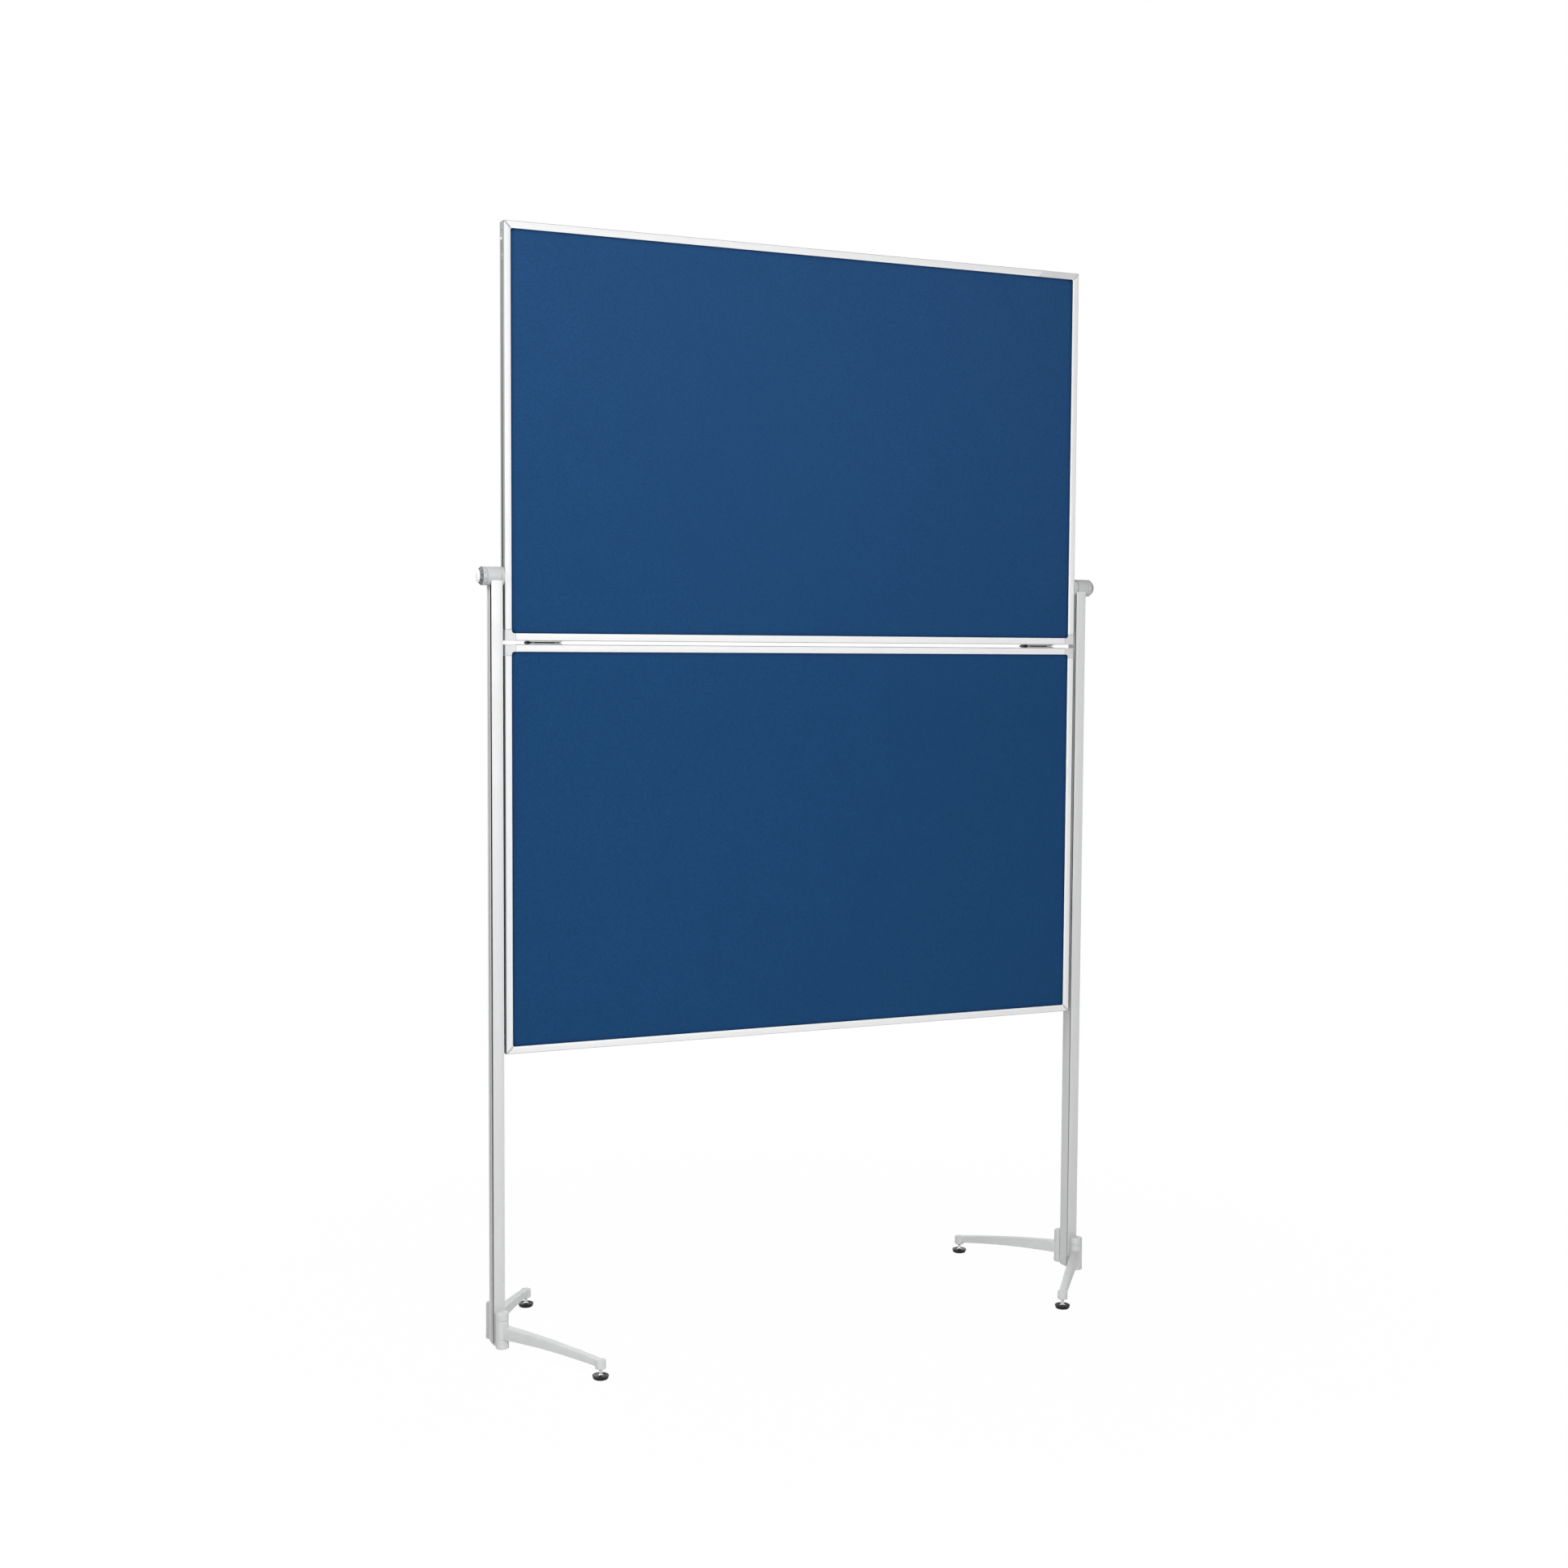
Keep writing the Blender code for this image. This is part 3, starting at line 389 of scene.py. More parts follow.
def makeFinishes():
    kit = {"groove": makeGrooveShadeFinish(), "felt": makeFeltFinish()}
    peel = (900, 2)
    handled = (60, 5)

    # satin white coat on the panels' aluminium frames, with a trace of orange peel and handling marks
    kit["frame"] = patterned(
        "frameWhiteCoat", (0.862, 0.863, 0.868), (0.888, 0.888, 0.890), (9, 4),
        (0.36, 0.50), handled, (0.06, 0.0002), peel, shine=0.3,
    )
    # the same coat, paler on the thin lip as a painted highlight, and darker in the joints as painted shade;
    # the rails' outer sides take the darker copy too
    for key, name, low, high in (
        ("frameLip", "frameLipPaintedHighlight", (0.90, 0.90, 0.902), (0.93, 0.93, 0.932)),
        ("seam", "frameJointPaintedShade", (0.50, 0.505, 0.51), (0.56, 0.565, 0.57)),
    ):
        kit[key] = patterned(
            name, low, high, (70, 4), (0.34, 0.48), handled, (0.06, 0.0002), peel, shine=0.3,
        )
    # bare edge of the same extrusion: mill finish, drawn along its length; on the bars' rounded outer corners
    # it is painted shade
    streak = (420, 5, (1, 1, 0.02))
    kit["frameEdge"] = patterned(
        "frameBareEdge", (0.31, 0.315, 0.32), (0.40, 0.405, 0.41), streak,
        (0.48, 0.68), streak, (0.08, 0.0001), streak, shine=0.08,
    )
    # pale grey moulded corners and caps
    kit["moulding"] = patterned(
        "paleMoulding", (0.70, 0.705, 0.71), (0.745, 0.75, 0.755), (25, 4),
        (0.44, 0.58), (120, 4), (0.12, 0.0002), (1600, 2),
    )
    # soft fibreboard behind the felt
    board = newFinish("fibreBoard", (0.52, 0.42, 0.30), 0.9)
    flake = grain(board, 260, 6, (1, 1, 1), 0.7)
    speckle = blendColors(board, spread(board, flake, 0.0, 1.0), (0.40, 0.31, 0.21), (0.60, 0.50, 0.37))
    toShader(board, "Base Color", speckle)
    raiseGrain(board, [(flake, 0.4, 0.0006)])
    kit["board"] = board
    # anodised posts with a fine drawn grain
    drawn = (700, 5, (1, 1, 0.012), 0.6)
    kit["post"] = patterned(
        "postAnodised", (0.67, 0.675, 0.68), (0.715, 0.718, 0.723), drawn,
        (0.42, 0.54), (14, 5), (0.05, 0.00008), drawn, 0.12, 0.3,
    )
    # painted castings of the clamps, hubs and arms, all one paint; the clamps' darker copy is painted shade
    for key, name, low, high in (
        ("clampCasting", "clampPaintPaintedShade", (0.545, 0.55, 0.553), (0.585, 0.59, 0.593)),
        ("footCasting", "footPaint", (0.695, 0.70, 0.703), (0.735, 0.739, 0.741)),
    ):
        kit[key] = patterned(
            name, low, high, (40, 5), (0.40, 0.56), (200, 4), (0.14, 0.0002), (1100, 2), shine=0.3,
        )
    # knob: grained plastic, its plain ring paler than the fluted grip; the mid grey copy is a painted
    # highlight on the grip's ribs and painted shade in the ring's dots
    for key, name, low, high in (
        ("knob", "knobGrip", (0.085, 0.088, 0.092), (0.13, 0.134, 0.138)),
        ("knobRibHighlightDotShade", "knobPaintedHighlightAndShade", (0.24, 0.245, 0.25), (0.32, 0.325, 0.33)),
        ("knobRing", "knobRing", (0.50, 0.505, 0.51), (0.56, 0.565, 0.57)),
    ):
        kit[key] = patterned(
            name, low, high, (300, 3), (0.36, 0.55), (500, 3), (0.15, 0.0002), (1800, 2),
        )
    # smooth white caps and buttons
    kit["cap"] = patterned(
        "capWhite", (0.85, 0.85, 0.85), (0.885, 0.885, 0.883), (90, 3),
        (0.22, 0.36), (240, 4), (0.04, 0.0002), peel,
    )
    # zinc-plated hinges and pins; the near-black copy is painted shade, used on the knuckles, the pins and
    # the leaves' hidden faces, and for dark holes, a screw and a line elsewhere
    brushed = (800, 4, (0.03, 1, 1))
    for key, name, low, high, metal in (
        ("steel", "hingeSteel", (0.27, 0.275, 0.28), (0.38, 0.385, 0.39), 0.25),
        ("steelPaintedShade", "hingeBarrelPaintedShade", (0.035, 0.036, 0.038), (0.075, 0.077, 0.08), 0.3),
    ):
        kit[key] = patterned(
            name, low, high, brushed, (0.34, 0.52), brushed, (0.1, 0.0001), brushed, metal, 0.2,
        )
    # bright studs
    latheLines = (900, 3, (0.05, 0.05, 1))
    kit["bright"] = patterned(
        "studChrome", (0.44, 0.44, 0.45), (0.66, 0.66, 0.67), latheLines,
        (0.10, 0.22), latheLines, (0.05, 0.0001), latheLines, 1.0,
    )
    # rubber pads, a little dusty on top
    kit["rubber"] = patterned(
        "padRubber", (0.0035, 0.0035, 0.0038), (0.0085, 0.0085, 0.009), (350, 5),
        (0.32, 0.50), (600, 4), (0.18, 0.0002), (1500, 2), shine=0.25,
    )
    return kit


frameBar = {
    "faceWidth": 0.013, "halfDepth": 0.0125,
    "slotHalf": 0.0108, "slotDepth": 0.005,
    "lipSlope": 0.003, "lipTip": 0.0006,
    "cornerRound": 0.0012, "edgeRound": 0.00025,
    "bandWidth": 0.0022, "bandDrop": 0.00018, "bandRound": 0.0004,
    "grooveMouth": 0.0054, "grooveCavity": 0.0094, "grooveLip": 0.0016, "grooveDepth": 0.006,
    "cornerShadeReach": 0.0011,         # how far the darker edge finish, painted shade along the rounded outer corner, runs onto the face
    "easeLength": 0.0004, "easeDepth": 0.00028, "mitreEase": 0.0023, "mitreDepth": 0.0001,
    "mitreGap": 0.0001, "buttGap": 0.0003,
    "endPiece": 0.081,          # length of the spliced end of the top rail, at the right
    "cornerSize": 0.020, "cornerFillet": 0.005, "cornerEdge": 0.00045, "cornerAngle": 50,
    "innerEase": 0.0034,        # small round in the frame's inner corners
    "easeLap": 0.0004, "easeShrink": 0.72,
}


def barSection():
    s, hair = frameBar, fine["hair"]
    e = s["edgeRound"]
    face, lip = s["halfDepth"], s["faceWidth"]
    mouth, cavity = s["grooveMouth"] / 2, s["grooveCavity"] / 2
    half = [
        (s["grooveDepth"], cavity, e),
        (s["grooveLip"], cavity, e),
        (s["grooveLip"], mouth, e),
        (0, mouth, e),
        (0, face, s["cornerRound"]),
        (lip - s["lipSlope"] - s["bandWidth"], face, s["bandRound"]),
        (lip - s["lipSlope"], face - s["bandDrop"], s["bandRound"]),
        (lip, s["slotHalf"] + s["lipTip"], e),
        (lip, s["slotHalf"], hair),
        (lip - s["slotDepth"], s["slotHalf"], hair),
    ]
    section = rounded(half + [(u, -v, r) for u, v, r in reversed(half)], 6)
    # finish numbers: 0 face, 1 rounded outer corner, 2 groove, 3 lip, 5 outer side; 4 is for mitred ends
    marks = []
    for here, (u, v) in enumerate(section):
        nextU, nextV = section[(here + 1) % len(section)]
        lowU, highU = min(u, nextU), max(u, nextU)
        lowV, highV = min(abs(v), abs(nextV)), max(abs(v), abs(nextV))
        inGroove = highU < s["grooveDepth"] + hair and highV < cavity + hair
        if highV > mouth + 4 * hair and lowU < s["grooveLip"] - 2 * hair:
            inGroove = False
        onLip = lowU > lip - s["lipSlope"] - 3 * hair and lowV > s["slotHalf"] - hair
        if inGroove:
            marks.append(2)
        elif highU < 2 * hair:
            marks.append(5)
        else:
            marks.append(1 if highU < s["cornerShadeReach"] else 3 if onLip else 0)
    return section, marks


barOutline, barMarks = barSection()
barInner = drawnIn(barOutline, frameBar["easeDepth"])
barMitre = drawnIn(barOutline, frameBar["mitreDepth"])


def makeBar(name, start, end, place, eases):
    # start and end give each end's place as a function of u, place turns (u, v, s) into a point
    first, last = (barMitre if ease == frameBar["mitreEase"] else barInner for ease in eases)
    loops = [
        [place(u, v, start(u)) for u, v in first],
        [place(u, v, start(u) + eases[0]) for u, v in barOutline],
        [place(u, v, end(u) - eases[1]) for u, v in barOutline],
        [place(u, v, end(u)) for u, v in last],
    ]
    return loft(name, loops, barMarks, 4)


def panelEdges(word):
    # flip is +1 where the panel runs up from its hinge edge
    flip = 1 if word == "upper" else -1
    inner, outer = ("bottom", "top") if flip > 0 else ("top", "bottom")
    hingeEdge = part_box(f"{word}_{inner}_rail")[0 if flip > 0 else 1].z
    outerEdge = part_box(f"{word}_{outer}_rail")[1 if flip > 0 else 0].z
    return flip, hingeEdge, abs(outerEdge - hingeEdge), inner, outer


def makeInnerEase(side, zCorner, down):
    # the small coved round that closes an inner corner of the frame, front and back
    s = frameBar
    reach, lap = s["innerEase"], s["easeLap"]
    halfWide = boardHalf - s["faceWidth"]
    outline = [(-lap, -lap)] + arc(reach, reach, reach, 2, 3, 6)[::-1]
    levels = (
        (s["slotHalf"] + fine["hair"], 1),
        (s["slotHalf"] + s["lipTip"], 1),
        (s["slotHalf"] + s["lipTip"] + lap, s["easeShrink"]),
    )
    return [loft("cove", [
        [(side * (halfWide - a * shrink), face * depth, zCorner - down * b * shrink) for a, b in outline]
        for depth, shrink in levels
    ]) for face in (-1, 1)]


def makePanelFrame(word, kit):
    s = frameBar
    flip, hingeEdge, height, inner, outer = panelEdges(word)
    coats = [kit["frame"], kit["frameEdge"], kit["groove"], kit["frameLip"], kit["seam"], kit["seam"]]
    stileCoats = coats[:-1] + [kit["frameEdge"]]        # the stiles' outer sides are the duller ones
    square, mitred, gap = s["easeLength"], s["mitreEase"], s["mitreGap"]

    def z(out):
        return hingeEdge + flip * out

    def makeRail(name, start, end, zOfU, eases):
        return makeBar(name, start, end, lambda u, v, run: (run, v, zOfU(u)), eases)

    def outerZ(u):
        return z(height - u)

    def leftMitre(u):
        return u + gap - boardHalf

    def rightMitre(u):
        return boardHalf - u - gap

    hingeEnd = boardHalf - s["cornerSize"] - s["buttGap"]
    node = f"{word}_{inner}_rail"
    rail = makeRail(node + "_bar", lambda u: -hingeEnd, lambda u: hingeEnd, z, (square, square))
    # painted shade: a near-black line along the lower panel's hinge edge, on its rounded corners
    line = kit["steelPaintedShade"] if word == "lower" else kit["frameEdge"]
    settle(rail, [coats[0], line] + coats[2:], node)

    node = f"{word}_{outer}_rail"
    if word == "upper":
        # the right end of the top rail is a short spliced piece
        splice = boardHalf - s["endPiece"]
        rail = makeRail(node + "_bar", leftMitre, lambda u: splice - u - gap / 2, outerZ, (mitred, square))
        endBar = makeRail(node + "_end", lambda u: splice - u + gap / 2, rightMitre, outerZ, (square, mitred))
        settle(endBar, [kit["moulding"]] * 2 + [kit["groove"]] + [kit["moulding"]] * 3, node)
    else:
        rail = makeRail(node + "_bar", leftMitre, rightMitre, outerZ, (mitred, mitred))
    settle(rail, coats, node)

    for hand, side in sides:
        node = f"{word}_{hand}_stile"
        bars = [makeBar(
            "stile", lambda u: s["cornerSize"] + s["buttGap"], lambda u: height - u - gap,
            lambda u, v, run: (side * (boardHalf - u), v, z(run)), (square, mitred),
        )]
        bars += makeInnerEase(side, z(height - s["faceWidth"]), flip)
        settle(gather(node + "_bar", bars), stileCoats, node)
        settle(makeCornerBlock(word, hand, side, z), [kit["moulding"]], f"{word}_{hand}_moulded_corner")
        plugCoats = [kit["cap"], kit["steelPaintedShade"], kit["frameEdge"]]
        cornerPlug = makeCornerPlug(word, hand, side, z, height, plugCoats)
        settle(cornerPlug, plugCoats, f"{word}_{hand}_corner_plug")


def makeCornerBlock(word, hand, side, z):
    # moulded corner at the hinge edge: coved inside, rounded outside, slotted for the board
    s = frameBar
    size, cove, lipEdge = s["cornerSize"], s["cornerFillet"], s["faceWidth"]
    rim, face = s["cornerRound"], s["halfDepth"]
    inner = [(size, lipEdge)] + arc(lipEdge + cove, lipEdge + cove, cove, 3, 2, 14) + [(lipEdge, size)]

    def outline(inset):
        outerRound = arc(rim, rim, max(rim - inset, 2 * fine["hair"]), 2, 3, 6)
        return outerRound + [(size, inset)] + inner + [(inset, size)]

    steps = arc(rim, face - rim, rim, 2, 1, 6)
    steps[-1] = (steps[-1][0], face)
    levels = [(inset, -v) for inset, v in reversed(steps)] + steps
    block = loft(f"{word}_{hand}_corner_block", [
        [(side * (boardHalf - a), v, z(b)) for a, b in outline(inset)] for inset, v in levels
    ])
    near, far = lipEdge - s["slotDepth"], size + fine["overrun"]
    slot = [(near, near), (far, near), (far, far), (near, far)]
    cutter = loft("slot", [
        [(side * (boardHalf - a), v, z(b)) for a, b in slot] for v in (-s["slotHalf"], s["slotHalf"])
    ])
    combine(block, cutter, "DIFFERENCE")
    easeEdges(block, s["cornerEdge"], s["cornerAngle"])
    return block


plug = {
    "length": 0.033, "mitreSlack": 0.0005, "seat": 0.0003,
    "holeSetback": 0.0155, "holeRadius": 0.0016, "holeDepth": 0.004,
    "buttonSetback": 0.031, "buttonRadius": 0.0028, "buttonHeight": 0.0019, "neckRadius": 0.0017,
    "buttonRound": 0.0010, "dish": ((0.0002, 0.0012), (0.0005, 0.0008)),
    "clipStart": 0.057, "clipLength": 0.009, "clipHole": 0.7, "clipHoleDepth": 0.002,   # further down
    "screwSetback": 0.0708, "screwRadius": 0.0014, "screwLength": 0.0045,
}


def makeCornerPlug(word, hand, side, z, height, finishes):
    s, p = frameBar, plug
    seat, edge, hair = p["seat"], fine["edge"], fine["hair"]
    neck, head = s["grooveMouth"] / 2 - seat, s["grooveCavity"] / 2 - seat
    shoulder, floor = s["grooveLip"] + seat, s["grooveDepth"] - seat
    soft = 2 * hair
    half = [(hair, neck, soft), (shoulder, neck, 0), (shoulder, head, soft), (floor, head, soft)]
    section = rounded(half + [(u, -v, r) for u, v, r in reversed(half)], 3)

    def insert(name, start, end):
        # fills the groove between two places, each given as a function of u
        return loft(name, [
            [(side * (boardHalf - u), v, z(stop(u))) for u, v in section] for stop in (start, end)
        ], [2] * len(section))

    clipTop = height - p["clipStart"]
    body = insert("plug", lambda u: height - p["length"], lambda u: height - u - p["mitreSlack"])
    clip = insert("clip", lambda u: clipTop, lambda u: clipTop - p["clipLength"])
    # a screw hole in each, painted shade inside
    clipHole = p["clipStart"] + p["clipLength"] * p["clipHole"]
    for solid, setback, depth in (
        (body, p["holeSetback"], p["holeDepth"]), (clip, clipHole, p["clipHoleDepth"]),
    ):
        spot = (side * boardHalf, 0, z(height - setback))
        reach = [(-side * depth, p["holeRadius"]), (side * fine["overrun"], p["holeRadius"])]
        hole = turned("hole", reach, "X", 24, spot)
        markAll(hole, 1)
        for shape in (solid, hole):
            coat(shape, finishes)
        combine(solid, hole, "DIFFERENCE")
    # the clip's screw, in the painted-shade steel
    r = p["screwRadius"]
    profile = [(-side * p["screwLength"], r), (-side * edge, r), (0, r - edge)]
    screw = turned("screw", profile, "X", 24, (side * (boardHalf - seat), 0, z(height - p["screwSetback"])))
    markAll(screw, 1)
    # guide button with a dished top
    r, top = p["buttonRadius"], p["buttonHeight"]
    profile = [(-shoulder, p["neckRadius"]), (seat, p["neckRadius"]), (seat, r - edge), (seat + edge, r)]
    profile += roundEnd(r, top, p["buttonRound"], 6)
    profile += [(top - down, radius) for down, radius in p["dish"]]
    profile = [(side * along, radius) for along, radius in profile]
    button = turned("button", profile, "X", 40, (side * boardHalf, 0, z(height - p["buttonSetback"])))
    return gather(f"{word}_{hand}_plug_button", [body, clip, screw, button])


feltSheet = {
    "inset": 0.0083,            # from the panel's edge to the felt's cut edge
    "tuck": 0.00055,            # how much lower the felt lies where the frame holds it
    "rise": 0.011,              # width of the roll up to the open field
    "wave": 0.00012, "waveScale": 5.5, "waveLayer": 3.0,
    "cell": 0.022, "hem": 0.0025,
    "rings": (0, 0.0008, 0.002, 0.004, 0.007, 0.011, 0.016),        # mesh lines inside the lip
    "clear": 0.0001,            # over the board core
    "rollShade": 0.3, "rollPower": 1.5, "lineWidth": 0.0040,        # painted shade on the roll, darkest at the frame
    "sharp": 50,
}


def makeFelt(word, face, kit):
    # one closed thin sheet, finer near the frame, that rolls down under the frame's lips
    f = feltSheet
    name = f"{word}_{'front' if face < 0 else 'back'}_felt"
    low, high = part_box(name)
    near = high.y if face < 0 else low.y
    top = low.y if face < 0 else high.y
    thick = abs(top - near)
    width, height = high.x - low.x, high.z - low.z
    lipInset = frameBar["faceWidth"] - f["inset"]

    def stations(length):
        border = [0, f["hem"]] + [lipInset + ring for ring in f["rings"]]
        field = length - 2 * border[-1]
        count = max(2, round(field / f["cell"]))
        inner = [border[-1] + field * step / count for step in range(1, count)]
        return border + inner + [length - inset for inset in reversed(border)]

    xs, zs = stations(width), stations(height)
    shape = bmesh.new()
    layer = shape.verts.layers.float.new("feltPaintedShade")
    fronts, backs = [], []
    for dz in zs:
        frontRow, backRow = [], []
        for dx in xs:
            fromLip = min(dx, width - dx, dz, height - dz) - lipInset
            cornerX = min(dx, width - dx) - lipInset - f["rise"]
            cornerZ = min(dz, height - dz) - lipInset - f["rise"]
            if cornerX < 0 and cornerZ < 0:
                fromLip = f["rise"] - math.hypot(cornerX, cornerZ)
            share = max(0.0, min(1.0, fromLip / f["rise"]))
            rise = share * share * (3 - 2 * share)
            x, z = low.x + dx, low.z + dz
            spot = Vector((x * f["waveScale"], face * f["waveLayer"], z * f["waveScale"]))
            y = near + face * (thick - f["tuck"] * (1 - rise) + f["wave"] * rise * noise.noise(spot))
            vert = shape.verts.new((x, y, z))
            # painted shade: darker down the roll to the frame, darkest in a line along the lip
            shadeLine = max(0.0, 1 - max(0.0, fromLip) / f["lineWidth"])
            rollShade = f["rollShade"] * (1 - rise) ** f["rollPower"]
            vert[layer] = rollShade + (1 - f["rollShade"]) * shadeLine
            frontRow.append(vert)
            back = shape.verts.new((x, near + face * f["clear"], z))
            # the hidden inner face takes the roll's painted shade
            back[layer] = f["rollShade"]
            backRow.append(back)
        fronts.append(frontRow)
        backs.append(backRow)
    for rows in (fronts, backs):
        for lowRow, highRow in zip(rows, rows[1:]):
            for here in range(len(xs) - 1):
                shape.faces.new((lowRow[here], lowRow[here + 1], highRow[here + 1], highRow[here]))

    def rim(rows):
        # pairs of neighbours round the sheet's edge
        right = [row[-1] for row in rows[1:-1]]
        left = [row[0] for row in rows[-2:0:-1]]
        loop = rows[0] + right + rows[-1][::-1] + left
        return zip(loop, loop[1:] + loop[:1])

    for (a, b), (c, d) in zip(rim(fronts), rim(backs)):
        shape.faces.new((a, b, d, c))
    sheet = newPiece(name + "_sheet", shape)
    settle(sheet, [kit["felt"]], name, sharp=f["sharp"])


hinge = {
    "leafThickness": 0.0020, "endTaper": 0.0038, "tipThickness": 0.0003,
    "stepShare": 0.3,           # the leaf is thin to here, then nearly meets the other leaf
    "knuckles": 5, "seat": 0.0003, "barrelGap": 0.0005, "pinEase": 0.0004,
    "screwCount": 3, "screwPlace": 0.45, "screwStagger": (-0.002, 0.003),
    # (depth in the leaf, radius) of the countersink and of the screw's head
    "sink": ((-0.001, 0.0030), (0.0004, 0.0030), (0.0018, 0.0012)),
    "head": ((0.0016, 0.0010), (0.0005, 0.0026), (0.00015, 0.0026), (0.00005, 0.0023)),
    "slotReach": 0.0016, "slotHalf": 0.00032, "slotDepth": 0.0008, "slotClear": 0.001, "slotTurn": 0.4,
}


def makeHingeScrew(plate, spot, flip, inner):
    # countersunk cross-head screw, seen when the panels are folded
    h = hinge
    sink = [(flip * (inner + depth), radius) for depth, radius in h["sink"]]
    headProfile = [(flip * (inner + depth), radius) for depth, radius in h["head"]]
    combine(plate, turned("sink", sink, "Z", 28, spot), "DIFFERENCE")
    head = turned("head", headProfile, "Z", 28, spot)
    for turn in (h["slotTurn"], h["slotTurn"] + math.pi / 2):
        a = Vector((math.cos(turn), math.sin(turn), 0))
        b = Vector((-math.sin(turn), math.cos(turn), 0))
        reach = [(p * h["slotReach"], q * h["slotHalf"]) for p, q in ((-1, -1), (1, -1), (1, 1), (-1, 1))]
        slot = loft("slot", [
            [Vector(spot) + a * p + b * q + upright * flip * (inner + depth) for p, q in reach]
            for depth in (-h["slotClear"], h["slotDepth"])
        ])
        combine(head, slot, "DIFFERENCE")
    return head


def makeHinge(hand, side, kit):
    h, hair = hinge, fine["hair"]
    pinLow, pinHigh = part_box(f"{hand}_hinge_pin")
    axisY, axisZ = (pinLow.y + pinHigh.y) / 2, (pinLow.z + pinHigh.z) / 2
    pinRadius = (pinHigh.z - pinLow.z) / 2
    x0, x1 = pinLow.x, pinHigh.x
    axle = (0, axisY, axisZ)
    coats = [kit["steel"], kit["steelPaintedShade"]]
    for level, flip in (("upper", 1), ("lower", -1)):
        node = f"{hand}_hinge_{level}_leaf"
        low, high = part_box(node)
        barrel = high.y - axisY
        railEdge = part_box("upper_bottom_rail")[0].z if flip > 0 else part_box("lower_top_rail")[1].z
        outer = abs(railEdge - axisZ) - h["seat"]
        inner = outer - h["leafThickness"]
        back = axisY - barrel - h["barrelGap"]

        def leafOutline(floor, slant, end):
            return rounded([
                (x0, outer, 2 * hair), (x1, outer, 2 * hair), (x1, end, 2 * hair),
                (x1 - slant, floor, 3 * hair), (x0 + slant, floor, 3 * hair), (x0, end, 2 * hair),
            ], 3)

        # leaf plate, its ends thinned on the side that faces the other leaf
        thin = leafOutline(inner, h["endTaper"], outer - h["tipThickness"])
        full = leafOutline(h["seat"], h["endTaper"] * 0.5, inner)
        # painted shade on every face but the leaf's outer one
        marks = [1 if abs(z - outer) > 4 * hair else 0 for x, z in thin[:-1]] + [0]
        step = low.y + (back - low.y) * h["stepShare"]
        plate = loft("plate", [
            [(x, y, axisZ + flip * z) for x, z in outline]
            for y, outline in ((low.y, thin), (step, thin), (step + h["leafThickness"], full), (back, full))
        ], marks)
        coat(plate, coats)
        # every other knuckle belongs to this leaf
        pitch = (x1 - x0) / h["knuckles"]
        ringStart = 2 - math.asin(min(1, outer / barrel)) / (math.pi / 2)
        ringEnd = -2 - math.asin(inner / barrel) / (math.pi / 2)
        neckY = back - fine["overrun"]
        neck = [(neckY, outer)] + arc(axisY, 0, barrel, ringStart, ringEnd, 30) + [(neckY, inner)]
        for index in range(0 if flip > 0 else 1, h["knuckles"], 2):
            start = x0 + index * pitch + h["seat"] / 2
            end = start + pitch - h["seat"]
            knuckle = loft("knuckle", [[(x, y, axisZ + flip * z) for y, z in neck] for x in (start, end)])
            # painted shade on the knuckles
            markAll(knuckle, 1)
            coat(knuckle, coats)
            combine(plate, knuckle, "UNION")
        drill(plate, x0 - fine["overrun"], x1 + fine["overrun"], pinRadius + h["seat"], "X", 32, axle)
        across = low.y + (back - low.y) * h["screwPlace"]
        screws = []
        for index in range(h["screwCount"]):
            x = x0 + (x1 - x0) * (index + 0.5) / h["screwCount"]
            spot = (x, across + h["screwStagger"][index % 2], axisZ)
            screws.append(makeHingeScrew(plate, spot, flip, inner))
        settle(gather(node + "_plate", [plate] + screws), coats, node)
    pin = turned(f"{hand}_hinge_pin_rod", rod(x0, x1, pinRadius, h["pinEase"]), "X", 32, axle)
    settle(pin, [kit["steelPaintedShade"]], f"{hand}_hinge_pin")


postBar = {
    "round": 0.0009, "wall": 0.002, "edgeRound": 0.0003, "grooveSetback": 0.0014,
    "grooveWidth": 0.0086, "grooveDepth": 0.0035,           # outer side
    "linePlace": 0.0030, "lineWidth": 0.0026, "lineDepth": 0.0008,
    "innerGrooveWidth": 0.0034, "innerGrooveDepth": 0.0014,
    "faceLine": 0.0030, "faceLineWidth": 0.0013, "faceLineDepth": 0.0006,       # on the front, by the board
}


